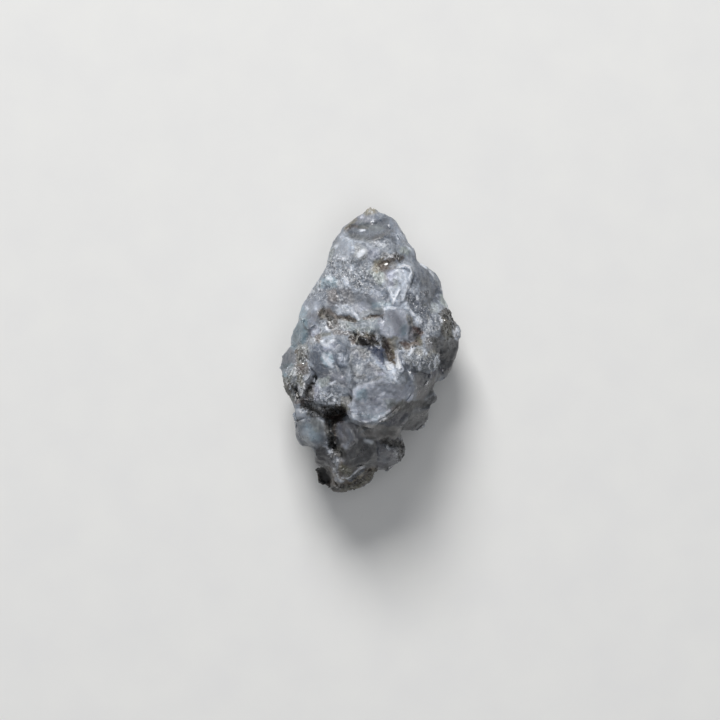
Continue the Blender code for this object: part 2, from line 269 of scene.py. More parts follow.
# The specks are white grains and painted sparkle glints.
SPECK_BY_SUGAR = (0.0, 1.0, 0.04, 0.95)
SPECK_LEVELS = (0.58, 0.66, 0.0)
PIT_BY_SUGAR = (0.0, 1.0, 0.05, 0.75)
PIT_LEVELS = (0.72, 0.88, 0.0)
VEIN_BY_EDGE = (0.0, 0.04, 0.16, 0.0)
# The chalk is white grains and lines with painted glints, broken up by noise.
CHALK_AND_GLINT_BY_NOISE = (0.3, 0.6, 0.7, 1.0)
ROUGH_BY_NOISE = (0.3, 0.7, 0.38, 0.62)
POLISH = 0.2
CLEAR_BY_GLASS = (0.0, 1.0, 0.1, 0.55)
SWELL_MM = 0.06
RELIEF_SHARES = {"swell": 0.8, "patch": 0.3, "flat": 0.5}
RELIEF_BY_SUGAR = (0.0, 1.0, 0.2, 0.9)

# Ranges in the grains', the mica's and the floor's nodes.
GRAIN_LIGHT_BY_NOISE = (0.35, 0.7, 0.0, 0.6)
GRAIN_ROUGH_BY_NOISE = (0.3, 0.7, 0.1, 0.35)
MICA_GREY_BY_NOISE = (0.35, 0.7, 0.0, 0.5)
MICA_ROUGH_BY_NOISE = (0.3, 0.7, 0.18, 0.4)
FLOOR_BY_NOISE = (0.3, 0.7, 0.0, 1.0)


def rows_of(text):
    """The rows of a drawing table: tone and numbers first, then a list of places as across,down.

    A line that starts with a place goes on with the row above it, and # starts a heading.
    """
    rows = []
    for line in text.splitlines():
        items = [] if line.startswith("#") else line.split()
        places = [tuple(map(float, item.split(","))) for item in items if "," in item]
        values = [item if item.isalpha() else float(item) for item in items if "," not in item]
        if values:
            rows.append((*values, places))
        elif places:
            rows[-1][-1].extend(places)
    return rows


# Facets of the front, broad ones first: tone, strength, edge in grid steps, lift in millimetres and
# corners.
# The crevice and the hollow at the foot: brown in the crevice, and black that is painted shade down in
# both
# Under the shield: darker tones, partly painted shade of the undercut and partly the greyer, clearer
# crystal
FACETS = rows_of("""
# The cap and the collar under it
slate .75 4 0 345,228 362,214 372,208 380,214 391,218 399,231 404,243 388,246 368,243 350,237 342,232
mauve .6 2 .03 350,222 361,214 370,215 372,223 362,226 352,225
ice .8 1.5 .07 390,219 396,224 401,232 405,241 400,241 394,232 389,225
mist .7 2 .05 352,240 372,242 392,238 404,243 411,250 408,256 392,257 372,262 354,262 350,250
frost .8 1.5 .09 342,234 350,238 354,246 353,256 346,262 338,262 334,255 335,246 338,240
sage .6 1.2 .03 330,249 334,248 333.5,262 328,263
milk .85 2.5 .04 355,246 366,249 370,258 360,262 354,256
lilac .6 2 .02 366,250 378,250 380,260 368,262
sage .95 1.2 .06 400,248 408,247 412,252 407,256 400,254
slate .6 1.5 0 395,240 404,243 403,248 396,247
# The sugary slope down to the white ledge
mist .85 4 0 330,262 372,262 376,276 374,292 356,298 334,290 320,282
teal .75 1.5 .07 321,279 328,276 338,280 337,289 326,291 316,290
dusk .8 4 0 326,290 352,288 354,304 346,308 328,308 322,300
slate .8 2.5 0 312,289 324,289 330,296 326,305 308,303
rose .5 2 .03 328,291 337,291 338,302 329,302
dusk .25 4 0 350,292 366,292 374,298 366,304 352,304
pearl .9 2.5 0 350,305 364,302 372,308 360,314 352,311
silver .75 2 0 368,287 388,286 391,298 386,303 370,301
aqua .7 2 0 370,303 392,302 390,309 372,311
sage 1 1.2 .05 369,272 384,272 386,280 379,288 375,284
rose .5 2.5 0 384,268 394,268 392,284 385,282
frost .95 1.5 .12 390,274 399,266 409,267 412,275 410,284 405,294 402,302 394,306 389,298 387,287
lilac .85 2 0 387,272 396,270 397,286 388,288
frost .9 1.5 .04 397,302 406,301 410,310 400,310
frost .85 1.5 .07 336,306 346,305 353,310 359,317 360,321 355,320 349,315 337,315
milk .75 2 .05 357,317 364,311 374,309 384,306 386,312 374,315 362,319
frost .8 1.5 .05 383,306 396,304 405,303 408,309 396,311 384,312
# The right shoulder and flank
shade .9 1.2 0 412,256 420,262 430,272 440,284 444,296 440,306 430,308 424,328 419,318 410,308 404,297
410,284 413,274
slate .5 2 .03 408,288 420,284 430,290 424,300 412,301
steel .8 2 0 421,304 430,304 431,314 427,326 421,320
sage .5 1.5 .04 431,303 439,304 438,314 431,313
sage 1 1.2 .05 440,293 445,296 450,306 447,310 441,305
mist .5 2 .05 424,318 436,314 438,338 428,342 421,334
soot .95 2 .02 440,310 450,308 455,318 457,336 442,338 438,322
soot .7 2.5 0 441,312 450,310 454,322 453,336 442,337
dusk .5 1.5 0 449,309 454,312 460,324 456,328 451,320
smoke .9 2 0 424,338 440,336 443,356 441,372 436,354 426,348
smoke .95 1.2 .12 441,340 452,337 460,342 458,362 449,380 442,374
# The belly and the pocket beside it
pearl .95 2 .11 382,313 390,310 400,310 407,315 409,326 408,339 392,338 380,334 378,322
teal .7 3 0 400,324 406,325 406,336 400,336
sage .75 1.5 .06 338,321 352,320 378,320 380,332 364,331 350,330 340,329
slate .6 3 0 350,322 378,321 382,332 352,332
tan .6 1.5 0 406,315 413,318 414,327 409,328
plum .95 1.2 0 409,327 420,327 422,336 418,342 409,341
bark .9 1.5 0 399,341 412,342 421,336 421,345 404,350
# The lobes at the left edge
silver .9 1.5 .13 303,300 320,299 321,312 318,326 310,332 304,322 301,312
teal 1 1.2 .14 290,336 294,328 300,321 307,318 310,330 305,342 299,349 291,342
lilac .85 1.2 .08 309,329 318,327 321,334 312,338
slate .9 1.5 .12 279,358 285,351 293,346 298,350 297,358 288,366 278,368
aqua 1 1.2 .05 278,368 288,363 296,365 290,377 280,377
moss .8 2 0 299,344 308,343 312,352 310,366 298,368 296,356
bark .45 2 0 297,350 306,348 309,358 308,368 295,366
umber .7 1.5 0 294,364 307,362 310,374 302,376 292,375
milk .8 1.2 .1 288,368 295,367 297,376 290,379
moss .9 2 0 281,377 298,376 300,402 290,402 284,392
olive .6 2 0 282,382 292,380 295,396 288,398
mist .95 1 .14 305,375 312,373 313,382 307,386
milk .9 1 .14 299,384 306,383 307,398 301,400
bark .6 1.2 0 307,386 314,380 316,386 313,402 306,402
lilac .8 1 .1 313,387 320,384 322,398 316,402
# The left front block and the mass under it
slate .85 2.5 .07 309,352 320,341 336,340 346,347 348,364 336,372 318,373 309,364
shade .6 3 0 309,355 320,352 322,366 330,371 316,373 309,366
aqua .95 1.2 .05 323,354 330,352 334,360 333,367 325,366 321,360
lilac .9 2 .04 321,342 334,341 337,348 326,350
ice .85 1.5 .04 339,353 345,354 347,366 341,365
shade .9 3 0 309,368 322,372 346,370 350,384 330,384 312,380
dusk .4 3 0 322,372 346,370 350,386 330,388 320,380
sage .75 1.5 .07 318,379 330,377 332,386 322,388
mist .85 1.5 .1 320,388 332,384 348,388 349,398 340,404 326,404 318,396
tan .5 1.5 0 340,396 350,396 349,408 340,406
mist .75 2 .04 342,332 352,332 352,348 344,350
# The deep hole, the run from it and the facet beside it
bark .95 1.5 .3 351,334 362,332 375,335 381,338 378,344 360,346 352,344
sage .6 1.5 .55 352,328 373,328 375,335 363,337 352,336
bark .8 1.2 0 352,334 363,334 376,335 375,339 360,338
rust .8 1.5 0 353,338 362,336 375,338 377,343 360,345
bark .9 1.5 0 382,336 390,338 394,352 393,366 386,358 383,346
tan .65 1.5 0 386,337 399,338 400,350 394,350 388,346
tan .9 1 0 390,350 394,350 394,366 391,362
navy 1 1.2 .08 367,346 383,347 384,358 383,366 372,358
flint .9 2.5 .1 350,348 368,348 374,360 384,370 382,379 366,383 354,386 350,366
mist .4 2 .04 353,362 362,360 366,372 356,376
soot .7 2.5 0 352,377 364,377 378,374 382,379 364,385 354,387
shade .85 4 0 352,352 366,352 376,362 382,376 364,384 353,386
slate .7 2 0 368,358 380,362 383,370 372,370
# The shield and its shards
pearl .95 2.2 .09 351,390 362,385 372,381 384,378 396,384 404,383 410,380 417,387 416,400 404,401 396,409
390,415 384,419 378,421 361,421 353,418 348,411 350,404 353,398
mist .15 3 0 368,383 384,381 392,388 384,396 370,396
silver .7 2 0 404,384 411,380 417,388 416,400 404,400
aqua .8 2 0 356,390 366,388 370,398 358,401
lilac .5 1.5 0 383,395 402,393 402,399 384,400
frost .5 3 0 350,404 372,403 376,417 354,418
sage .6 2 0 384,399 397,398 394,406 386,409
mist .9 2 .1 383,368 393,366 402,370 406,382 396,384 385,380
ice .6 1.5 0 384,364 392,366 397,372 391,379 386,374
shade .9 1.2 0 397,348 401,352 405,364 414,382 410,382 404,376 400,366
# The frosty lumps, the violet flat and the nub
flint .7 1.5 .15 403,352 412,346 424,348 437,354 441,365 430,370 418,372 409,366 402,360
mist .7 2 0 404,352 414,347 424,349 434,353 430,358 414,360
plum .95 1.2 .05 409,367 419,372 430,372 441,367 442,374 434,384 426,395 424,401 417,400 416,387
soot .8 1.5 0 434,374 441,372 436,388 428,396 428,386
rose .4 1.5 0 416,391 424,391 424,400 417,400
soot .8 1.2 .06 424,402 430,396 437,395 438,400 430,405
# Under the shield
dusk .9 3 0 334,422 350,422 384,424 400,406 432,402 430,420 404,438 404,470 372,492 326,492 312,470 314,448
334,446
umber .6 3 0 312,464 350,462 378,464 370,484 350,494 326,493 312,480
soot .95 2 0 402,400 424,400 430,405 414,410 396,416 391,413
smoke .95 1.2 .13 400,418 412,408 430,406 430,416 422,430 408,434 399,425
plum .9 1.5 .04 384,418 396,412 412,412 404,424 388,426
ash .95 2 0 356,424 372,424 400,426 402,438 378,440 358,434
dusk .7 2 .06 336,420 350,422 360,428 358,446 350,460 340,446 334,430
smoke .9 1.5 .08 357,438 376,438 378,464 362,468 346,462 342,450
dusk .9 1.2 .14 378,448 392,448 404,450 404,462 390,473 378,466
soot .9 1.2 0 398,446 405,448 405,464 398,460
smoke .95 1.2 .06 314,446 333,448 333,468 316,468
umber .95 2 0 312,468 333,468 336,480 372,466 378,468 370,482 350,493 326,492 314,480
# The lower left lobe
mist .9 2 .13 292,412 304,408 320,415 327,425 329,440 318,447 300,445 292,430
aqua .6 6 0 300,424 316,424 322,440 304,443
milk .7 1.5 .04 295,410 304,408 305,422 297,424
moss .5 2 0 310,416 324,422 326,432 314,430
frost .7 1.5 .07 293,411 300,407 307,411 306,418 297,420
# The crevice and the hollow at the foot
umber .9 1.5 0 318,406 344,405 348,410 342,420 334,424 326,420 318,412
black .85 1.5 -.04 326,409 341,408 344,411 337,415 331,419 327,416
black .95 1.5 -.22 318,470 330,469 333,477 329,484 320,483
""")

# Strokes of colour on the facets: tone, radius in grid steps, strength and path.
# The deep hole and the run from it; the black stroke in the hole is painted shade
# The next stroke is a painted glint.
# The next stroke is painted shade along the shield's lower rim.
# The next stroke is painted shade in the hollow at the foot.
# The next stroke is painted shade in the notch above the foot block.
# The next three frost strokes are painted glints on the frosty lumps.
# The next two frost strokes are painted glints on the shield's lower rim.
# The next two strokes are painted highlights along the lit rim of the shoulder.
# The next two strokes are painted shade along the shield's lower rim.
# The next two strokes are painted shade down in the crevice.
STROKES = rows_of("""
# The cap and the collar under it
tan 4 .9 366,211 372,210
tan 1.6 .8 345,229 350,224 356,220
umber 1.5 .6 345,232 350,229
bark 1.3 .7 346,228 357,227 367,228
steel 1.6 .8 366,226 379,224 384,221
flint 2.6 .7 351,236 360,238 368,241
smoke 2.2 .8 374,240 383,237 388,232
sage 3 .4 362,225 374,230 382,229
mist 1.6 .5 356,232 370,233 378,231
slate 3 .6 381,222 386,228 388,240
frost 1.2 .7 406,246 412,251 414,256
shade .8 .6 334,250 333,258 331,266
ice 1.6 .5 352,248 353,258
umber 1 .6 384,255 392,257 398,256
# The brown arc
tan 3.4 .9 376,270 378,264 384,262
bark 3.6 .8 385,268 386,262 392,261
ash 1.8 .6 390,263 394,266
umber 1.3 .6 386,265 388,262 394,261
bark 1.8 .8 393,260 401,259
black .9 .7 395,258 400,258
bark 2 .8 380,266 382,270
# The sugary slope
frost 2.4 .8 350,267 352,270
frost 3 .8 345,281 347,286
frost 1.3 .7 353,289 362,292 372,291
shade 3.4 .5 356,278 366,280 370,284
shade 1.3 .8 314,293 322,291 330,287
shade 1.6 .5 311,298 318,300 324,306
shade 1.2 .6 338,292 342,298 340,306
aqua 2.6 .5 322,281 334,282
milk 1 .8 311,292 316,287 321,281
shade 1.5 .5 374,286 384,288 388,296
# The veil and the ledge
sage 2 .6 394,282 396,286
frost 2 .9 407,309 413,315 420,322
bark 2 .9 338,318 346,319 354,321
umber 1.3 .9 344,319 348,319
bark 1.6 .7 365,319 374,318 382,316
umber 1.2 .9 370,318 375,317
bark 4 .8 322,314 328,312 333,318 334,327
black 1.8 .85 329,316 332,320
milk 2.2 .5 333,323 336,328
tan 1.8 .6 322,312 323,317
milk 2.2 .7 341,322 344,327
bark 1.8 .6 336,333 350,333
moss 2 .8 320,336 330,334
# The right shoulder and flank
frost 1.1 .8 422,265 426,268
milk .8 .5 432,275 439,283 443,292
mist 1.2 .7 410,290 417,293 423,291
mist 1.6 .6 412,286 414,288
steel 2 .9 427,292 428,297
mist .8 .7 425,289 430,290 431,298
steel 1.4 .7 410,295 416,299
silver 1 .6 405,289 411,291 417,290
steel 1.8 .7 411,309 414,312
silver .9 .7 409,313 414,318
steel 2.2 .5 422,272 426,280 424,286
slate 2.2 .6 431,282 434,290
steel 1.6 .5 437,290 438,298
silver 1 .6 418,303 421,308
steel 2.2 .7 423,311 428,317
steel 1.6 .7 408,300 414,306 418,312
mist 1.3 .6 411,303 416,308
moss 2.4 .6 425,306 427,318
milk 1 .7 430,318 428,328 426,336
milk 1 .6 436,318 434,330
steel 1.1 .7 433,322 431,338
black 2 .8 445,311 448,313
olive 3.6 .5 444,323 449,330 447,336
black 1.8 .7 440,322 440,334
shade 2.6 .8 425,308 424,322
soot 4 .4 429,394 434,398
shade 1.6 .7 432,318 430,336
steel 1.2 .7 437,314 436,330
soot 2.6 .8 449,314 453,326
black 1.2 .8 445,316 446,326
tan 1.4 .6 443,318 447,322
mist 1 .8 440,321 441,325
mist .8 .7 450,327 452,335
black 1.2 .6 452,322 451,332
milk 1 .4 449,338 450,350
soot 2.6 .8 433,340 435,350
# The pocket right of the belly
rust 3 .95 415,329 419,333
black 1.3 .7 418,329 419,331
rose 1.6 .4 411,332 413,334
olive 2 .8 418,338 420,344
shade .9 .7 409,318 411,326 408,334
frost 1.8 .35 387,312 389,322 388,330
mauve 4 .6 392,316 398,322 396,332
lilac 1.5 .6 393,333 400,336
# The left lobes
frost 1.8 .6 306,307 308,310
frost 1.4 .6 315,308 317,310
dusk 3 .6 313,316 316,320
aqua 3.5 .7 302,308 304,322
aqua 4.5 .8 297,330 294,342
navy 1.2 .4 300,330 298,343
frost 3 .6 281,369 288,371
frost 1.5 .6 302,326 300,336 298,345
aqua 1 .8 292,332 298,324 305,320
milk 2.2 .9 312,342 315,340
bark 1.8 .7 317,337 319,340
frost 1.8 .7 313,332 316,332
dusk 3 .5 292,350 294,360
milk 1.8 .7 300,345 303,347
milk 1.8 .7 304,351 308,353
bark 1.4 .7 297,352 301,354
mist 1.6 .6 301,359 304,363
frost 1.1 .8 305,358 309,362 313,366
rust 2.8 .45 301,368 303,371
black 1.4 .6 297,370 299,374
olive 2.4 .9 299,376 302,383
black 2.4 1 312,384 315,377
black 2.4 1 310,388 306,395
black 2.4 1 296,388 298,397
bark 2.2 .8 289,384 291,392
soot 1.4 .7 285,382 287,394
mist 2 .8 293,382 296,379
mist 1.4 .7 293,391 295,396
milk 1 .6 287,380 289,386
black 1 .6 289,388 291,396
rose 1.6 .8 296,402 301,401
rust 2 .9 303,400 305,404
milk 2.2 .9 315,405 318,408
# The left front
frost 2.2 .8 324,343 331,346
frost 2 .7 325,357 329,361 332,365
shade 2 .7 314,347 320,350 330,352
shade 1.4 .8 335,354 337,364 343,370
frost 1.3 .6 341,356 344,362
milk 1.2 .8 337,366 338,369
lilac 2.2 .5 334,374 344,378
frost 1.3 .8 331,383 336,381
shade 1.3 .7 326,390 334,386 344,388
shade 1.8 .8 330,393 333,397
frost 1.6 .7 326,392 329,399
frost 1.2 .9 334,398 336,399
frost 1.3 .9 331,403 333,402
mist 2 .7 347,356 349,378
# The deep hole and the run from it
black 2.4 .85 357,341 366,342 374,343
tan 1.6 .6 358,335 366,336 372,336
rose 2 .7 352,338 354,341
milk 1.7 .8 361,333 363,334
milk 2 .9 376,335 380,341
umber 2.6 .95 384,342 388,352 392,361
rust 1.8 .6 385,345 389,354
black 1 .6 386,348 389,357
steel 1 .8 384,352 388,362
mist 1.2 .7 397,341 398,350
rust 2.2 .7 402,343 407,345
# The facet beside the run and the frosty middle
ice 1.3 .7 371,355 377,361 383,367
navy 2.8 .9 370,349 382,350
steel 2 .7 376,366 380,369
milk 1.8 .7 354,371 357,373
milk 1.5 .6 355,379 357,379
milk 1.5 .6 357,366 362,365
mist 1.6 .5 364,370 372,372
mauve 2.6 .4 352,351 357,356
smoke 2.4 .6 361,351 364,358
mauve 2 .3 371,364 375,370
lilac 2 .8 377,373 383,373
# The shield and its shards
frost 1.8 .45 392,371 395,377
frost .9 .35 393,378 397,383 402,387
slate 1.8 .8 386,371 388,374
shade 1.8 .8 403,364 406,374 411,384
mist 1 .6 399,352 404,363 409,373 415,382 417,390
lilac 1.8 .6 369,396 374,399
shade 1.6 .4 378,386 388,392 398,392
aqua 2.4 .5 362,414 374,417 384,414
frost 1.8 .7 353,415 357,417
frost 1.4 .6 378,416 382,415
black 1.6 1 350,396 351,400
olive 2.4 .8 342,404 347,408
umbra 2.2 .6 380,419 389,413 397,406 404,401
soot 1.8 .6 383,421 391,416 398,409 404,403 417,401
# The frosty lumps, the violet flat and the right edge
frost 2 .95 410,356 412,349
milk 2 .7 404,356 408,359
tan 2.2 .5 416,350 424,356 434,352
shade 2 .6 414,358 422,362 430,364
frost 1.4 .9 424,352 426,354
frost 1.3 .9 436,358 438,362
frost 1.6 .9 418,368 420,369
steel 3 .7 412,370 420,374 426,378
slate 1.2 .4 438,372 436,380
slate 2.4 .7 444,374 447,378
# Under the shield
moss 2 .6 392,404 398,404 402,403
bark 2.6 .4 393,409 398,408
mist 1.8 .5 403,420 407,418
slate 1.6 .5 414,410 426,408
mist .8 .7 361,432 368,427
milk 2.2 .7 365,440 372,441
slate 2 .6 349,430 352,438 346,446
lilac 1.4 .5 338,424 342,436
smoke 3 .6 352,444 358,456
black 3.4 .9 384,441 394,443 402,444
slate 2.6 .5 384,456 386,462
mist 1.4 .8 385,445 388,447
milk .8 .7 395,451 398,454 396,457
soot 2.2 .7 386,466 390,471
mist 1 .5 379,449 378,460
# The lower left lobe
frost 4 .35 304,431 309,437
frost 2 .6 299,412 302,417
steel 1.4 .6 304,444 316,446 326,444
slate 2 .6 297,424 300,434
# Crevices
soot 3 .9 306,406 314,410 320,414
black 1.8 .9 309,413 318,415
milk 1.4 .7 311,407 315,406
mist 1.2 .8 320,408 323,410
mist 1 .7 316,413 320,416
milk 1 .7 327,407 331,406
rust 2.6 .8 333,417 341,419
mauve 1.2 .8 333,407 335,408
mist 1 .7 329,411 331,412
mist 1 .7 338,410 339,411
mist 1 .7 309,409 311,412
soot 2.4 .9 326,423 329,434
umber 1.8 .8 334,422 335,434 333,444
soot 2.6 .85 330,436 333,444
black 3.2 .9 335,450 340,448 343,453
frost 1.8 .8 326,444 330,451
black 1.4 .8 338,456 340,457
soot 1.6 .8 334,457 335,460
# The foot
umbra 3.4 .6 338,458 336,468 338,476 341,481
mist 1.2 .4 333,461 338,463
black 3.4 1 336,449 341,450 343,454
ash .9 .8 338,452 339,453
soot 2 .8 334,455 337,457
shade 3 .6 336,459 336,470
milk 1.1 .9 308,405 309,406
mist 1.1 .9 311,412 312,413
milk 1.1 .9 320,408 321,409
mist 1 .8 327,408 328,409
ash 1.2 .9 313,408 314,410
milk 1 .8 315,413 316,414
mist 1 .8 324,412 325,414
soot 1.3 .85 381,421 390,415 399,407
soot 1.4 .6 333,457 335,466
moss 3 .5 300,350 302,360
aqua 5 .9 297,329 294,343
frost 1 .7 291,333 290,342
teal 1.6 .6 298,328 296,336
soot 2.2 .6 356,375 363,377
smoke 2.8 .6 370,364 378,370
milk 2 .5 355,367 361,369
mist 1.8 .6 336,478 341,481
umber 1.6 .6 342,462 340,470 343,476
olive 4.2 .95 344,468 349,472
shade 1.9 .85 350,479 357,474 362,471
black 1 .7 352,478 358,473
black 5 .95 319,471 327,476 322,483
black 1.8 .9 328,488 336,488 348,487
black 1.2 .7 352,484 362,477 370,469
olive 2.6 .8 344,490 356,487 368,479 375,471
tan .9 .7 350,483 360,476 368,468
bark 2 .7 318,488 326,490
""")

# White grains and lines, with painted glints and painted highlights on lit edges: radius in grid steps,
# strength and path.
CHALK_AND_GLINT = rows_of("""
1 .6 361,218 363,218
.9 .5 373,218 373,222
1.4 .6 371,210 371.5,212
1.1 1 361,231 364,231
1 .9 397,237 397.5,239
2.1 1 359,256 363,253
1.3 .6 335,247 337,246
1.7 .95 341,261 344,260
.9 .8 379,247 381,247
.7 .7 376,246 378,243 381,245
1.2 1 389,258 392,258
.9 .9 384,260 387,259
1.4 .8 351,268 352,271
1.6 .8 345,280 347,283
1.5 .9 328,279 331,280
1 .8 319,289 322,290
2.6 .5 338,309 345,308
1.4 .6 341,312 348,311
1.3 .7 352,312 356,316 358.5,320
1.1 .35 362,317 372,313
1.2 .5 384,310 389,308 394,309
1.2 .75 407,309 413,315 419,322
1.5 .8 418,319 420,323
1.2 .95 416,297 417,300
1 .9 421,264 425,267
.6 .5 430,272 434,276
.7 .6 442,289 446,299 448,304
1.3 .95 448,308 449,307
1.2 .8 440,319 441,321
.6 .4 445.5,326 446.5,333
.6 .7 452,318 453.5,332
.5 .5 448,313 450,319
.9 .9 454,336 455.5,331 457,327
.7 .7 457.5,336 459,331
1.7 .8 386,363 390,364 392,367
1.5 .8 396,352 397,359 399,367
1.4 .5 393,371 393.5,373
.7 .2 394,379 398,383 401,386
1.6 1 411,354 412,349
.6 .3 402,362 408,373 412,379
1.1 .8 424,352 425,354
1.2 .8 419,369 419.5,367.5
1 .8 437,359 438,362
1.2 .4 307,307 308,309
1 .4 316,309 317,309.5
1.7 .9 312,342 314,340
1 .9 327,328 328,330
1.6 1 315,380 316,381
1.1 .8 296,386 298,387
2 .4 301,388 304,396
2.2 .4 308,376 310,380
1.4 .7 322,342 327,346
1.4 .8 327,346 333,341
1 .6 328,345 336,350
1.4 .8 324,355 327,361 333,366
1.1 .6 327,360 331,353
.9 .4 322,363 327,363
1.3 .6 340,354 344,363
1 .7 331,383 336,381
1.1 .9 335,398 335.5,399
1.1 .9 331,403 333,402
1.2 .5 361,333 363,334
1.4 .6 376,335 380,341
1.5 .8 317,407 318,408
.9 .7 313,411 314,412
.9 .7 322,409 323,410
.8 .6 325,413 326,414
.9 .7 308,406 309,407
1.7 .95 354,414 356,415
1.2 .7 363,413 365,414
1 .6 379,416 381,415
1.6 .5 366,440 371,441
1.1 .6 387,445 388,448
1.2 1 327,446 328,447
1.2 .7 330,451 331,452
.8 .5 337,459 338,459.5
.8 .4 333,461 334,461.5
.8 .4 334,468 334,469
.8 .3 337,474 337.5,475
1.1 .6 340,480 343,481
.9 .8 364,467 358,469 354,474 348,478.5 342,477
# Curved lines in the veil
.7 .85 399,268 404,266 409,268 411,273 409,279 410.5,283
.8 .95 389,289.5 391,295 392.5,300 392,305
.9 .95 399,291 396,295.5 393.5,300 392,305
.6 .35 391,289 394,288 398,289
.7 .7 393,291 396,292 395,295
.9 .7 407,287 404.5,294 402.5,301 397,302
.8 .8 399.5,273 400,280
.8 .6 392,274 397,271 403,272
.7 .5 403,276 405,281 403,287
.6 .4 390,281 394,278 398,280
""")

# Where the crystal is glassy, where it breaks into sugary grains, and where mica sits: radius in
# grid steps, strength and path.
GLASS = rows_of("""
9 .9 354,226 370,228 386,226
4 .9 352,235 372,238 388,235
6 .6 354,301 364,303 380,303
5 .2 332,296 346,298
9 .3 420,270 430,284 424,296
9 .85 386,316 396,322 400,332
7 .5 310,308 312,322
7 .85 304,324 298,332 297,340
7 .8 287,354 285,370
6 .6 340,242 346,252
6 .5 314,358 322,368 340,374
7 .9 450,344 449,356 445,374
9 .85 414,374 422,384 420,394
6 .8 372,350 380,354
10 .8 404,420 416,416 424,412
5 .7 368,434 382,434 398,426
9 .7 342,424 350,436 356,448
10 .9 364,444 368,456 356,462
12 .8 302,420 308,434 318,432
7 .6 320,454 324,462
9 .35 362,400 384,392 398,390 372,406
5 .5 384,456 386,464
""")
SUGAR = rows_of("""
13 1 336,268 350,276 366,280
5 .6 322,286 312,296
5 .5 320,296 334,292 344,300
6 .8 332,260 344,266
3 .7 375,246 385,246
5 .35 356,248 364,258
3 .9 380,258 398,256
5 .8 302,346 306,360
6 .8 292,370 306,374 304,390 312,402
6 .8 322,396 338,400
4 .4 322,382 340,384
8 .8 412,357 422,360 434,362
6 .2 444,316 452,332
6 .6 430,310 432,322 430,340
5 .5 412,292 424,294
5 .5 410,298 420,310 423,326
2.6 .25 337,460 337,472 340,480
3 1 326,443 332,453
5 1 306,406 318,410 326,413
3 .6 338,309 352,311
5 .8 326,322 334,328 346,330
5 .7 354,336 378,341
4 .8 312,340 318,342
4 .8 396,452 400,460
3 .4 354,414 366,414
""")
MICA = rows_of("""
2.6 .35 378,268 385,263 400,260
5 .9 324,314 333,322
2.2 .9 338,318 353,320
1.6 .4 366,318 380,317
5 .9 354,336 366,338 379,341
3.4 .35 384,343 392,360
4 .7 402,345 414,342 418,334
6 .7 444,314 449,322 448,336
4 .3 300,352 302,370
4 .6 288,380 292,392 300,402
2.6 .9 309,388 308,400
5 1 306,404 318,410 338,410
4 .9 330,424 331,440 340,452
4 .6 384,441 402,444
4 .6 336,489 354,486 372,472
2.6 .6 400,452 401,462
4 .5 345,469 349,473
""")

# Sunk lines between the parts: radius in grid steps, depth in millimetres and path.
GROOVES = rows_of("""
1.6 .2 350,392 351,399 347,408 349,416
2 .16 354,422 368,425 380,424
1.2 .08 417,388 411,376 405,366
1.3 .05 376,312 375,320
1.4 .1 409,312 412,322 410,334
1.3 .12 413,268 414,278 411,288 406,298
1.5 .12 320,300 322,312 320,326 322,336
1.2 .1 301,318 310,334 306,343
1.6 .12 298,347 306,341 312,344
1.6 .08 349,342 350,356 350,370 342,376
1.1 .08 334,352 336,362 340,370
1.3 .12 308,352 308,364 314,374
1.5 .16 384,344 387,352 390,362
1.5 .14 404,366 414,372 424,374 440,369
1.1 .08 354,234 356,247 350,262
1 .06 336,236 334,248 334,262
1.1 .07 389,228 394,238 400,246
1.4 .1 356,425 358,438 352,452
1.5 .16 377,440 377,466
2.2 .14 384,441 394,444 403,445
1.5 .16 440,340 441,358 441,372
1.3 .1 440,308 438,322 440,338
1.2 .08 430,304 431,314 424,330
1.4 .12 314,447 330,449
1.2 .1 295,421 307,419
1.3 .12 333,456 333,468 336,482
1.1 .04 314,293 323,291 330,290
1 .06 368,288 372,296 368,310
1.5 .07 338,319 354,321
1.4 .07 364,319 380,317
1.7 .34 312,384 315,377
1.8 .34 310,388 306,395
1.7 .34 296,388 298,397
1.2 .08 366,362 370,374 366,382
1.4 .12 352,478 358,473 366,468
""")

# The raised lines and steps: radius in grid steps, height in millimetres and path.
RIDGES = rows_of("""
1.4 .04 352,224 366,223 382,220
1.5 .04 350,232 360,232.5 368,231
1.6 .05 352,242 368,244 386,239 390,232
1.6 .05 352,312 358,320
1.8 .08 407,310 413,315 420,323
1 .03 399,268 404,266 409,268 411,273 409,279 410.5,283
1 .04 389,289.5 391,295 392.5,300 392,305
1 .04 399,291 396,295.5 393.5,300 392,305
1.1 .06 399,352 404,364 408,372 413,380
1.2 .08 364,467 358,469 354,474 348,478.5
1.3 .06 421,264 427,269
""")

# Where the wall of the stone is pushed sideways: reach in grid steps, place, and the push across and
# down in grid steps.
PUSHES = rows_of("""
9 330,253 -3.2,0
9 291,337 -2.6,0
7 284,354 -3.4,0
12 284,387 -3,.5
6 281,379 -2.2,0
7 316,461 -3.6,0
8 319,476 -4.6,0
4.5 343,227 -2.8,.8
8 326,490 -2.6,1.6
7 375,476 2.4,.6
6 387,470 0,4.6
7 443,380 .6,4.4
7 459,331 2.4,0
5 380,211 -.8,3.6
4 362,210 1.6,2.4
3.4 370,207 1.2,2.2
""")

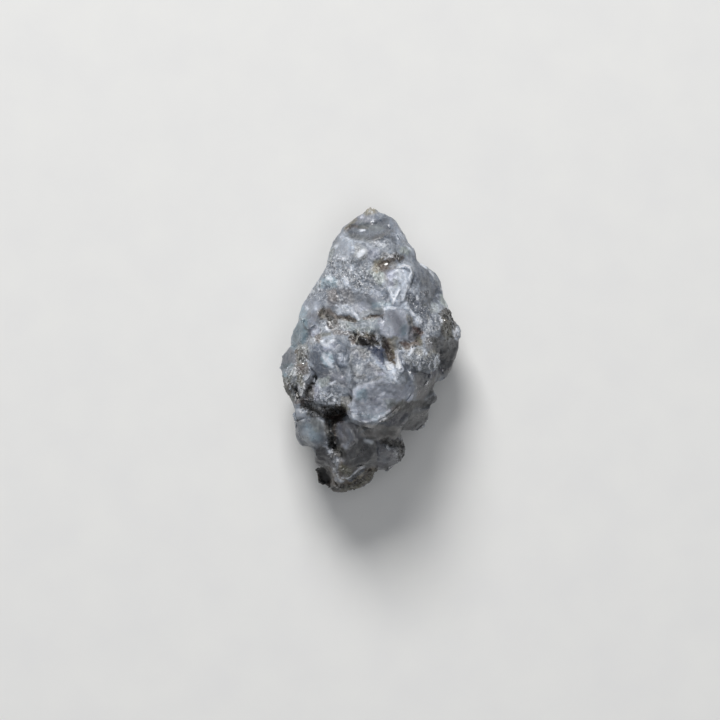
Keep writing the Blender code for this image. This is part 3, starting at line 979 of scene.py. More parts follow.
# Pointed shards: tone, half width in grid steps, height in millimetres, foot and tip.
SHARDS = rows_of("""
snow 3.3 .24 398.4,369.5 395.5,350.5
snow 3.2 .2 391,371 385,363.5
snow 3 .3 411.5,358 412.5,347
mist 2.8 .22 408,361 403,352
mist 2.8 .22 421,362 426,350
mist 2.8 .22 432,366 437,354
slate 2.6 .2 415,369 411,360
mist 2.8 .2 427,371 431,362
silver 2.2 .18 419,370 420,361
frost 1.2 .16 454.5,338 457,326
mist 1 .12 458,338 459.5,330
mist 3.6 .26 306,385 311,373
milk 3.4 .24 303,399 303,384
sage 3 .2 292,379 293,367
lilac 3.2 .22 317,400 318,385
frost 1.8 .2 314,383 316,378
mist 2.4 .2 291,392 289,382
smoke 2.2 .2 297,404 295,394
mist 2 .2 309,402 311,392
mist 2.8 .2 333,393 326,401
ice 2.8 .16 343,366 342,353
frost 2.6 .2 378,342 376,334
mist 2.2 .16 363,336 360,331
mist 1.8 .14 388,449 386,443
smoke 2.8 .16 391,466 388.5,473
milk 2 .18 328,453 329,446
tan 2.4 .2 356,344 358,335
bark 2.2 .2 369,345 366,335
rust 1.8 .2 374,343 371,335
""")

# Small beads: tone, radius in grid steps, how much of the radius is sunk, and place.
BEADS = rows_of("""
tan 3.7 .5 370.8,210.6
milk 2.2 .4 369.2,212.6
""")

# The masks: strokes on the front, and for the hidden sides the size of patches of noise in
# millimetres, the level they start at and the salt.
MASKS = {
    "glass": (GLASS, 2.4, 0.1, 200),
    "sugar": (SUGAR, 1.8, 0.1, 230),
    "mica": (MICA, 1.5, 0.3, 260),
}

# Windows that are cut finer: the upper left and the lower right corner on the grid.
FINE_WINDOWS = [
    ((386, 264), (414, 308)),
    ((350, 306), (422, 324)),
    ((382, 350), (420, 388)),
]


def on_grid(across, down):
    """The place of a grid point in millimetres."""
    x = (across - GRID_CENTRE_ACROSS) * MM_PER_STEP
    y = (GRID_CENTRE_DOWN - down) * MM_PER_STEP
    return x, y


def with_modifier(mesh, kind, **settings):
    """The mesh as one modifier leaves it."""
    holder = bpy.data.objects.new("holder", mesh)
    bpy.context.scene.collection.objects.link(holder)
    modifier = holder.modifiers.new(kind.lower(), kind)
    for name, value in settings.items():
        setattr(modifier, name, value)
    graph = bpy.context.evaluated_depsgraph_get()
    result = bpy.data.meshes.new_from_object(holder.evaluated_get(graph))
    bpy.data.objects.remove(holder, do_unlink=True)
    return result


def read_points(mesh):
    """The vertices of a mesh as an array."""
    flat = np.empty(len(mesh.vertices) * 3)
    mesh.vertices.foreach_get("co", flat)
    return flat.reshape(-1, 3)


def read_normals(mesh):
    """The vertex normals of a mesh as an array."""
    flat = np.empty(len(mesh.vertices) * 3)
    mesh.vertices.foreach_get("normal", flat)
    return flat.reshape(-1, 3)


def write_points(mesh, points):
    """Write the vertices back to the mesh."""
    mesh.vertices.foreach_set("co", points.astype(np.float32).ravel())
    mesh.update()


def of_length_one(vectors):
    """The vectors at a length of 1, also where one is almost nothing."""
    return vectors / np.maximum(np.linalg.norm(vectors, axis=1, keepdims=True), TINY)


def smooth(mesh, rounds, share):
    """Ease every vertex towards its neighbours."""
    points = read_points(mesh)
    ends = np.empty(len(mesh.edges) * 2, dtype=np.int32)
    mesh.edges.foreach_get("vertices", ends)
    ends = ends.reshape(-1, 2)
    count = np.bincount(ends.ravel(), minlength=len(points)).reshape(-1, 1)
    for _ in range(rounds):
        total = np.zeros_like(points)
        for axis in range(3):
            total[:, axis] += np.bincount(ends[:, 0], points[ends[:, 1], axis], len(points))
            total[:, axis] += np.bincount(ends[:, 1], points[ends[:, 0], axis], len(points))
        points = points + share * (total / count - points)
    write_points(mesh, points)


def hashed(cell, salt):
    """A number from 0 to 1 for each whole-numbered cell."""
    x, y, z = (cell.astype(np.int64) * CELL_PRIMES).T
    mixed = ((x ^ y ^ z) + salt * SALT_PRIME) & LOW_BITS
    for _ in range(2):
        mixed = ((mixed ^ (mixed >> HALF_BITS)) * MIXER) & LOW_BITS
    return (mixed ^ (mixed >> HALF_BITS)) / float(LOW_BITS)


def cloud(points, size, salt):
    """Smooth noise from -1 to 1 with lumps of about one size."""
    places = points / size
    low = np.floor(places)
    part = places - low
    ease = part * part * (3.0 - 2.0 * part)
    total = np.zeros(len(points))
    for corner in np.ndindex(2, 2, 2):
        weight = np.abs(1.0 - np.array(corner) - ease).prod(axis=1)
        total += weight * hashed(low + corner, salt)
    return total * 2.0 - 1.0


def clouds(points, size, salt):
    """Smooth noise with finer lumps on the large ones."""
    total = np.zeros(len(points))
    for number, (finer, share) in enumerate(CLOUD_LAYERS):
        total += share * cloud(points, size / finer, salt + number)
    return total / sum(share for _, share in CLOUD_LAYERS)


def warped(points, size, reach, salt):
    """The points pushed about by noise."""
    shift = [cloud(points, size, salt + axis) for axis in range(3)]
    return points + reach * np.stack(shift, axis=1)


def cells(points, size, salt):
    """The keys of the nearest and second nearest cell of each point, and how near it is to the edge."""
    places = points / size
    low = np.floor(places)
    near = np.full(len(points), np.inf)
    far = np.full(len(points), np.inf)
    near_key = np.zeros(len(points), dtype=np.int64)
    far_key = np.zeros(len(points), dtype=np.int64)
    for step in np.ndindex(3, 3, 3):
        cell = low + (np.array(step) - 1)
        jitter = [hashed(cell, salt + axis) for axis in range(3)]
        distance = np.linalg.norm(places - cell - np.stack(jitter, axis=1), axis=1)
        x, y, z = (cell.astype(np.int64) + KEY_MIDDLE).T
        key = (x << (2 * KEY_BITS)) + (y << KEY_BITS) + z
        first = distance < near
        second = ~first & (distance < far)
        far[first] = near[first]
        far_key[first] = near_key[first]
        near[first] = distance[first]
        near_key[first] = key[first]
        far[second] = distance[second]
        far_key[second] = key[second]
    return near_key, far_key, far - near


def flattened(points, normals, size, lean, salt):
    """How far each point lies under the leaning flat of its cell, along its normal."""
    near_key, far_key, margin = cells(warped(points, WARP_SIZE_MM, WARP_MM, salt), size, salt)
    keys, index = np.unique(near_key, return_inverse=True)
    count = np.bincount(index).reshape(-1, 1)
    middle = np.stack([np.bincount(index, points[:, axis]) for axis in range(3)], axis=1) / count
    facing = np.stack([np.bincount(index, normals[:, axis]) for axis in range(3)], axis=1) / count
    cell = np.stack([keys >> (2 * KEY_BITS), (keys >> KEY_BITS) & KEY_MASK, keys & KEY_MASK], axis=1)
    leaning = [hashed(cell, salt + LEAN_SALT + axis) * 2.0 - 1.0 for axis in range(3)]
    facing = of_length_one(facing + lean * np.stack(leaning, axis=1))
    other = np.searchsorted(keys, far_key).clip(0, len(keys) - 1)
    other = np.where(keys[other] == far_key, other, index)
    rises = []
    for chosen in (index, other):
        along = np.maximum((normals * facing[chosen]).sum(axis=1), FLAT_LEAST_FACING)
        gap = ((middle[chosen] - points) * facing[chosen]).sum(axis=1) / along
        rises.append(np.clip(gap, -FLAT_MOST * size, FLAT_MOST * size))
    own = 0.5 + 0.5 * np.clip(margin / FLAT_EDGE, 0.0, 1.0)
    return own * rises[0] + (1.0 - own) * rises[1]


def distance_to_path(points, path):
    """How far each point is, across and along the stone, from a run of straight pieces."""
    nearest = np.full(len(points), np.inf)
    for start, end in zip(path[:-1], path[1:]):
        start = np.array(on_grid(*start))
        run = np.array(on_grid(*end)) - start
        along = np.clip(((points[:, :2] - start) @ run) / (run @ run), 0.0, 1.0)
        foot = start + along[:, None] * run
        nearest = np.minimum(nearest, np.linalg.norm(points[:, :2] - foot, axis=1))
    return nearest


def depth_in_outline(points, corners, edge):
    """How far each point is inside a closed outline, in widths of its edge, and below 0 outside it."""
    closed = corners + corners[:1]
    inside = np.zeros(len(points), dtype=bool)
    for start, end in zip(closed[:-1], closed[1:]):
        x0, y0 = on_grid(*start)
        x1, y1 = on_grid(*end)
        crosses = (y0 > points[:, 1]) != (y1 > points[:, 1])
        at = x0 + (x1 - x0) * (points[:, 1] - y0) / ((y1 - y0) or 1.0)
        inside ^= crosses & (points[:, 0] < at)
    distance = distance_to_path(points, closed)
    return np.where(inside, distance, -distance) / (edge * MM_PER_STEP)


def cover_of(points, path, radius):
    """1 inside a stroke, easing to 0 outside it."""
    return np.clip(STROKE_FADE - distance_to_path(points, path) / (radius * MM_PER_STEP), 0.0, 1.0)


def broken_cover(points, path, radius, noise, fill, rough, reach):
    """A stroke that noise breaks up, within its own reach."""
    laid = np.clip(cover_of(points, path, radius) * fill + rough * noise, 0.0, 1.0)
    return laid * (cover_of(points, path, radius * reach) > 0.0)


def front_share(points):
    """1 where a point belongs to the side that the drawing grid describes, 0 at the back."""
    return np.clip((points[:, 2] - FRONT_FROM_MM) / FRONT_BLEND_MM, 0.0, 1.0)


def with_loose_edges(points, salt):
    """The points as the outlines and strokes see them, so that what is drawn gets uneven edges."""
    return warped(points, EDGE_WARP_SIZE_MM, EDGE_WARP_MM, salt)


def mask_of(points, name):
    """A mask from strokes on the front and from noise patches on the hidden sides."""
    strokes, size, above, salt = MASKS[name]
    loose = with_loose_edges(points, salt)
    cover = np.zeros(len(points))
    for radius, strength, path in strokes:
        cover = np.maximum(cover, strength * cover_of(loose, path, radius))
    patch = np.clip((clouds(points, size, salt + PATCH_SALT) - above) / PATCH_BLEND, 0.0, 1.0)
    front = front_share(points)
    return cover * front + patch * (1.0 - front)


def chalk_and_glint_mask(points):
    """Where white lines and grains lie, with the painted glints and painted edge highlights."""
    loose = warped(points, CHALK_AND_GLINT_WARP_SIZE_MM, CHALK_AND_GLINT_WARP_MM, CHALK_AND_GLINT_SALT)
    noise = clouds(points, BREAK_UP_MM, CHALK_AND_GLINT_SALT + 5)
    cover = np.zeros(len(points))
    for radius, strength, path in CHALK_AND_GLINT:
        laid = broken_cover(loose, path, radius, noise, *CHALK_AND_GLINT_BREAK)
        cover = np.maximum(cover, strength * laid)
    front = front_share(points)
    crust = (clouds(points, CRUST["size"], CHALK_AND_GLINT_SALT + 8) - CRUST["above"]) / CRUST["blend"]
    return cover * front + np.clip(crust, 0.0, CRUST["most"]) * (1.0 - front)


def linear(screen):
    """A colour as it looks on a screen, from 0 to 255, as linear light."""
    share = np.asarray(screen, dtype=float) / 255.0
    return np.where(share <= 0.04045, share / 12.92, ((share + 0.055) / 1.055) ** 2.4)


def lay(tones, name, share):
    """Blend a named tone into the colours by its share at each point."""
    tones += share[:, None] * (linear(TONES[name]) - tones)


def hidden_tone(points):
    """The colour of the sides and back: the same tones in patches, with stains in the low places."""
    tones = np.tile(linear(TONES["mist"]), (len(points), 1))
    for number, (name, size, above, strength) in enumerate(HIDDEN_PATCHES):
        noise = clouds(points, size, HIDDEN_SALT + HIDDEN_SALT_STEP * number)
        lay(tones, name, strength * np.clip((noise - above) / HIDDEN_BLEND, 0.0, 1.0))
    lay(tones, "umber", HIDDEN_STAIN * mask_of(points, "mica"))
    return tones


def front_tone(points):
    """The colour of the front, laid on stroke by stroke with broken edges."""
    tones = np.tile(linear(TONES["mist"]), (len(points), 1))
    loose = with_loose_edges(points, TONE_SALT)
    loose = warped(loose, EDGE_WARP_SIZE_MM / FINER_WARP, EDGE_WARP_MM / 2.0, TONE_SALT + 10)
    noises = [clouds(points, BREAK_UP_MM, TONE_SALT + 20 + 10 * kind) for kind in range(BREAK_UP_KINDS)]
    for number, (name, strength, edge, _, corners) in enumerate(FACETS):
        inside = 0.5 + depth_in_outline(loose, corners, edge)
        laid = np.clip(inside + FACET_BREAK * noises[number % BREAK_UP_KINDS], 0.0, 1.0)
        lay(tones, name, strength * laid)
    for number, (name, radius, strength, path) in enumerate(STROKES):
        laid = broken_cover(loose, path, radius, noises[number % BREAK_UP_KINDS], *STROKE_BREAK)
        lay(tones, name, strength * laid)
    return tones


def tone_of(points):
    """The colour at each point."""
    front = front_share(points)[:, None]
    return front * front_tone(points) + (1.0 - front) * hidden_tone(points)


def push_walls(mesh):
    """Push the wall of the stone sideways where its outline stands out or falls back."""
    points = read_points(mesh)
    shift = np.zeros((len(points), 2))
    for reach, (place, (across, down)) in PUSHES:
        away = np.linalg.norm(points[:, :2] - on_grid(*place), axis=1) / (reach * MM_PER_STEP)
        shift += np.exp(-2.0 * away * away)[:, None] * np.array([across, -down]) * MM_PER_STEP
    points[:, :2] += shift
    write_points(mesh, points)


def plane_height(points, chosen):
    """The height at every point of the plane that fits the chosen points best."""
    terms = np.column_stack([points[:, 0], points[:, 1], np.ones(len(points))])
    fit = np.linalg.lstsq(terms[chosen], points[chosen, 2], rcond=None)[0]
    return terms @ fit


def raise_parts(mesh):
    """Flatten and lift the facets that stand proud and sink the lines between them.

    Where the surface faces up it is lifted along its normal, and near the outline straight up.
    """
    points = read_points(mesh)
    normals = read_normals(mesh)
    facing = np.clip(normals[:, 2] / FACET_FACES_UP, 0.0, 1.0) * front_share(points)
    loose = with_loose_edges(points, RELIEF_SALT)
    rise = np.zeros(len(points))
    for _, _, edge, lift, corners in FACETS:
        if not lift:
            continue
        inside = depth_in_outline(loose, corners, edge)
        cover = np.clip(0.5 + inside, 0.0, 1.0)
        rise += lift * cover
        gap = plane_height(points, (inside > 0.0) & (facing == 1.0)) - points[:, 2]
        points[:, 2] += FACET_FLATTEN * cover * facing * np.clip(gap, -FACET_MOST_MM, FACET_MOST_MM)
    for radius, depth, path in GROOVES:
        rise -= depth * cover_of(loose, path, radius)
    tilt = np.clip(UPRIGHT_TILT * normals[:, 2:], 0.0, 1.0)
    way = normals * tilt
    way[:, 2:] = normals[:, 2:] + (1.0 - tilt)
    write_points(mesh, points + of_length_one(way) * (rise * front_share(points))[:, None])


def break_into_flats(mesh):
    """Turn the smooth surface into flats, and the sugary parts into small steep ones."""
    for number, (size, share, lean) in enumerate(FLATS + SUGAR_FLATS):
        points = read_points(mesh)
        normals = read_normals(mesh)
        if number < len(FLATS):
            share = share * (1.0 - GLASS_CALM[number] * mask_of(points, "glass"))
        else:
            share = share * mask_of(points, "sugar")
        rise = share * flattened(points, normals, size, lean, FLAT_SALT + FLAT_SALT_STEP * number)
        write_points(mesh, points + normals * rise[:, None])


def sink_mica_and_raise_ridges(mesh):
    """Sink the mica a little and raise the lines and steps."""
    points = read_points(mesh)
    rise = -MICA_SINK_MM * mask_of(points, "mica")
    loose = with_loose_edges(points, RELIEF_SALT)
    front = front_share(points)
    for radius, height, path in RIDGES:
        rise += height * front * cover_of(loose, path, radius)
    write_points(mesh, points + read_normals(mesh) * rise[:, None])


def cut_windows_finer(mesh):
    """Split the edges of the mesh inside the fine windows."""
    edit = bmesh.new()
    edit.from_mesh(mesh)
    chosen = set()
    for upper_left, lower_right in FINE_WINDOWS:
        low_x, high_y = on_grid(*upper_left)
        high_x, low_y = on_grid(*lower_right)
        for face in edit.faces:
            x, y, z = face.calc_center_median()
            if low_x < x < high_x and low_y < y < high_y and z > FRONT_FROM_MM + FRONT_BLEND_MM:
                chosen.update(face.edges)
    bmesh.ops.subdivide_edges(edit, edges=list(chosen), cuts=1, smooth=0.0)
    bmesh.ops.triangulate(edit, faces=edit.faces)
    edit.to_mesh(mesh)
    edit.free()


def fine_stone():
    """The fine mesh of the stone in millimetres."""
    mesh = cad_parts[NODE].data.copy()
    write_points(mesh, read_points(mesh) / MM)
    mesh = with_modifier(mesh, "REMESH", mode="VOXEL", voxel_size=VOXEL_MM, adaptivity=0.0)
    smooth(mesh, SMOOTH_ROUNDS, SMOOTH_SHARE)
    push_walls(mesh)
    raise_parts(mesh)
    break_into_flats(mesh)
    sink_mica_and_raise_ridges(mesh)
    smooth(mesh, 1, LAST_SMOOTH_SHARE)
    triangles = 2 * len(mesh.polygons)
    if triangles > MOST_TRIANGLES:
        mesh = with_modifier(mesh, "DECIMATE", ratio=MOST_TRIANGLES / triangles)
    cut_windows_finer(mesh)
    points = read_points(mesh)
    points[:, 2] = np.maximum(points[:, 2], 0.0)
    write_points(mesh, points)
    return mesh


def give_values(mesh, name, values):
    """Store one number for each vertex."""
    layer = mesh.attributes.new(name, "FLOAT", "POINT")
    layer.data.foreach_set("value", np.clip(values, 0.0, 1.0).astype(np.float32))


def give_colours(mesh, name, values):
    """Store one colour for each vertex, as a vector of its red, green and blue."""
    layer = mesh.attributes.new(name, "FLOAT_VECTOR", "POINT")
    layer.data.foreach_set("vector", values.astype(np.float32).ravel())


def turns(rng, count):
    """Random turns as an array of 3 x 3 matrices."""
    quats = rng.normal(size=(count, 4))
    quats /= np.linalg.norm(quats, axis=1, keepdims=True)
    w, x, y, z = quats.T
    rows = [
        [1 - 2 * (y * y + z * z), 2 * (x * y - z * w), 2 * (x * z + y * w)],
        [2 * (x * y + z * w), 1 - 2 * (x * x + z * z), 2 * (y * z - x * w)],
        [2 * (x * z - y * w), 2 * (y * z + x * w), 1 - 2 * (x * x + y * y)],
    ]
    return np.array(rows).transpose(2, 0, 1)


def chosen_places(rng, mesh, mask, count):
    """Places on the surface with their outward directions, chosen by a mask."""
    surface = read_points(mesh)
    weights = mask_of(surface, mask) ** PLACE_FOCUS * (surface[:, 2] > PLACE_FROM_MM)
    picks = rng.choice(len(weights), size=count, replace=False, p=weights / weights.sum())
    return surface[picks], read_normals(mesh)[picks]


def hull_of(corners):
    """The convex shape around some corners, as corners and triangles."""
    edit = bmesh.new()
    for corner in corners:
        edit.verts.new(corner)
    hull = bmesh.ops.convex_hull(edit, input=edit.verts)
    inner = [item for item in hull["geom_interior"] if isinstance(item, bmesh.types.BMVert)]
    bmesh.ops.delete(edit, geom=inner, context="VERTS")
    edit.verts.index_update()
    placed = np.array([vert.co for vert in edit.verts])
    faces = np.array([[vert.index for vert in face.verts] for face in edit.faces])
    edit.free()
    return placed, faces


def grain_shape(rng):
    """One small angular grain as corners and triangles."""
    corners = []
    for _ in range(GRAIN_CORNERS):
        direction = rng.normal(size=3)
        corners.append(direction / np.linalg.norm(direction) * rng.uniform(*GRAIN_CORNER_REACH))
    return hull_of(corners)


def flake_shape():
    """One thin six-sided plate as corners and triangles."""
    ring = [(math.cos(turn), math.sin(turn)) for turn in np.arange(FLAKE_SIDES) * math.pi / 3.0]
    corners = np.array([(x, y, z) for z in (-1.0, 1.0) for x, y in ring])
    faces = []
    for step in range(1, FLAKE_SIDES - 1):
        faces.append((0, step + 1, step))
        faces.append((FLAKE_SIDES, FLAKE_SIDES + step, FLAKE_SIDES + 1 + step))
    for step in range(FLAKE_SIDES):
        after = (step + 1) % FLAKE_SIDES
        faces.append((step, after, FLAKE_SIDES + after))
        faces.append((step, FLAKE_SIDES + after, FLAKE_SIDES + step))
    return corners, np.array(faces)


def joined(name, parts, tones):
    """One mesh from many placed copies, each with its own tone, in metres."""
    points = np.concatenate([corners for corners, _ in parts])
    starts = np.cumsum([0] + [len(corners) for corners, _ in parts[:-1]])
    faces = np.concatenate([faces + start for (_, faces), start in zip(parts, starts)])
    mesh = bpy.data.meshes.new(name)
    mesh.from_pydata((points * MM).tolist(), [], faces.tolist())
    repeats = [len(corners) for corners, _ in parts]
    give_colours(mesh, "tone", np.repeat(tones, repeats, axis=0))
    mesh.update()
    return mesh


def top_of(surface, place):
    """The highest of the surface points that are nearest to a grid place."""
    away = np.linalg.norm(surface[:, :2] - on_grid(*place), axis=1)
    near = np.argpartition(away, TOP_NEIGHBOURS)[:TOP_NEIGHBOURS]
    return surface[near[np.argmax(surface[near, 2])]]


def placed_shard(surface, shape, half_width, height, foot_place, tip_place):
    """One shard, laid from its foot to its tip on the surface."""
    corners, faces = shape
    foot = top_of(surface, foot_place)
    along = top_of(surface, tip_place) - foot
    across = np.cross((0.0, 0.0, 1.0), along)
    across *= half_width * MM_PER_STEP / np.linalg.norm(across)
    up = np.cross(along, across)
    up *= height / np.linalg.norm(up)
    return corners @ np.stack([along, across, up]) + foot, faces


def placed_bead(surface, rng, radius, sunk, place):
    """One bead, sunk into the surface."""
    corners, faces = grain_shape(rng)
    radius *= MM_PER_STEP
    centre = np.array([*on_grid(*place), top_of(surface, place)[2] - sunk * radius])
    return corners * radius + centre, faces


def shard_mesh(stone):
    """The pointed shards and the beads."""
    surface = read_points(stone)
    shape = hull_of(SHARD_CORNERS)
    rng = np.random.default_rng(PIECE_SEED + 2)
    parts = [placed_shard(surface, shape, half, height, *ends) for _, half, height, ends in SHARDS]
    parts += [placed_bead(surface, rng, radius, sunk, *places) for _, radius, sunk, places in BEADS]
    tones = [linear(TONES[row[0]]) for row in SHARDS + BEADS]
    return joined("shards", parts, np.array(tones))


def laid_turns(rng, normals):
    """Turns that lay each flake along the surface with a lean of its own."""
    up = normals + FLAKE_LEAN * rng.normal(size=normals.shape)
    up /= np.linalg.norm(up, axis=1, keepdims=True)
    along = np.cross(up, rng.normal(size=normals.shape))
    along /= np.linalg.norm(along, axis=1, keepdims=True)
    return np.stack([along, np.cross(up, along), up], axis=2)


def grain_mesh(stone):
    """The sugary grains."""
    rng = np.random.default_rng(PIECE_SEED)
    places, normals = chosen_places(rng, stone, "sugar", GRAIN_COUNT)
    shapes = [grain_shape(rng) for _ in range(GRAIN_SHAPES)]
    sizes = rng.uniform(*GRAIN_SIZE, size=(GRAIN_COUNT, 3))
    spins = turns(rng, GRAIN_COUNT)
    tones = tone_of(places) * rng.uniform(*GRAIN_TONE_SPREAD, size=(GRAIN_COUNT, 1))
    bright = rng.random(GRAIN_COUNT) < GRAIN_BRIGHT_SHARE
    tones[bright] += GRAIN_BRIGHTENED * (linear(WHITE) - tones[bright])
    parts = []
    for number in range(GRAIN_COUNT):
        corners, faces = shapes[number % GRAIN_SHAPES]
        centre = places[number] - normals[number] * GRAIN_SINK * sizes[number].mean()
        parts.append(((corners * sizes[number]) @ spins[number].T + centre, faces))
    return joined("sugar_grains", parts, tones.clip(*GRAIN_TONE_LIMITS))


def flake_mesh(stone):
    """The mica flakes."""
    rng = np.random.default_rng(PIECE_SEED + 1)
    places, normals = chosen_places(rng, stone, "mica", FLAKE_COUNT)
    corners, faces = flake_shape()
    spins = laid_turns(rng, normals)
    tones = tone_of(places)
    lay(tones, "soot", np.full(FLAKE_COUNT, FLAKE_GREY))
    tones *= rng.uniform(*FLAKE_TONE_SPREAD, size=(FLAKE_COUNT, 1))
    parts = []
    for number in range(FLAKE_COUNT):
        width = rng.uniform(*FLAKE_SIZE)
        size = np.array([width, width * rng.uniform(*FLAKE_NARROWED), FLAKE_THICK / 2.0])
        parts.append(((corners * size) @ spins[number].T + places[number], faces))
    return joined("mica_flakes", parts, tones.clip(*FLAKE_TONE_LIMITS))


def colour(screen):
    """A colour as it looks on a screen, as a socket value."""
    return (*linear(screen), 1.0)


class Tree:
    """A short way to write a material's nodes."""

    def __init__(self, name):
        self.material = bpy.data.materials.new(name)
        self.material.use_nodes = True
        self.nodes = self.material.node_tree.nodes
        self.links = self.material.node_tree.links

    def put(self, socket, value):
        """Link a node's output to a socket, or set the socket's own value."""
        if isinstance(value, bpy.types.NodeSocket):
            self.links.new(value, socket)
        else:
            socket.default_value = value

    def node(self, kind, inputs, output=0, **settings):
        """One output of a new node, with the node's settings and inputs given."""
        node = self.nodes.new("ShaderNode" + kind)
        for name, value in settings.items():
            setattr(node, name, value)
        for name, value in inputs.items():
            self.put(node.inputs[name], value)
        return node.outputs[output]

    def finished(self, inputs):
        """The material, with the inputs of its shader given."""
        for name, value in inputs.items():
            self.put(self.nodes["Principled BSDF"].inputs[name], value)
        return self.material

    def mark(self, name, output="Fac"):
        """A named attribute of the mesh."""
        return self.node("Attribute", {}, output, attribute_name=name)

    def vector(self, operation, first, second, output="Vector"):
        """One sum of two vectors."""
        return self.node("VectorMath", {0: first, 1: second}, output, operation=operation)

    def scaled(self, source, share):
        """A colour made lighter or darker by a share."""
        return self.node("VectorMath", {0: source, "Scale": share}, "Vector", operation="SCALE")

    def places(self):
        """Object coordinates in millimetres."""
        return self.vector("MULTIPLY", self.node("TexCoord", {}, "Object"), (1.0 / MM,) * 3)

    def noise(self, places, size, detail=4.0, output="Fac"):
        """Cloudy noise with lumps of about one size in millimetres."""
        return self.node("TexNoise", {"Vector": places, "Scale": 1.0 / size, "Detail": detail}, output)

    def bent(self, places, name):
        """Places pushed about by noise."""
        size, reach = BEND[name]
        push = self.vector("SUBTRACT", self.noise(places, size, 3.0, "Color"), (0.5, 0.5, 0.5))
        return self.vector("ADD", places, self.vector("MULTIPLY", push, (reach, reach, reach)))

    def channel(self, source, name):
        """One channel of a colour."""
        return self.node("SeparateColor", {0: source}, name)

    def crystals(self, places, name, output="Color", feature="F1"):
        """One output of cell noise."""
        inputs = {"Vector": places, "Scale": 1.0 / CELL_MM[name]}
        return self.node("TexVoronoi", inputs, output, feature=feature)

    def leaning(self, places, cells_colour):
        """The height of small flats, one for each cell, each leaning its own way."""
        away = self.vector("SUBTRACT", places, cells_colour.node.outputs["Position"])
        lean = self.vector("SUBTRACT", cells_colour, (0.5, 0.5, 0.5))
        return self.vector("DOT_PRODUCT", away, lean, "Value")

    def sum(self, operation, first, second, clamp=True):
        """One sum of two values."""
        return self.node("Math", {0: first, 1: second}, operation=operation, use_clamp=clamp)

    def times(self, first, second, clamp=True):
        """The product of two values."""
        return self.sum("MULTIPLY", first, second, clamp)

    def less(self, first, second):
        """The difference of two values."""
        return self.sum("SUBTRACT", first, second)

    def span(self, value, low, high, to_low, to_high):
        """A value stretched from one range to another."""
        inputs = {"Value": value, "From Min": low, "From Max": high, "To Min": to_low, "To Max": to_high}
        return self.node("MapRange", inputs, "Result")

    def about_one(self, value, swing):
        """A value from 0 to 1 as a share that swings about 1."""
        return self.span(value, 0.0, 1.0, self.less(1.0, swing), self.sum("ADD", 1.0, swing, False))

    def blend(self, share, first, second, kind="MIX"):
        """A mix of two colours."""
        inputs = {"Factor": share, "A": first, "B": second}
        return self.node("Mix", inputs, "Result", data_type="RGBA", blend_type=kind)

    def bump(self, height, strength, **under):
        """Fine relief from a height in millimetres, on the Normal of the relief under it."""
        inputs = {"Height": height, "Distance": MM, "Strength": strength, **under}
        return self.node("Bump", inputs, "Normal")


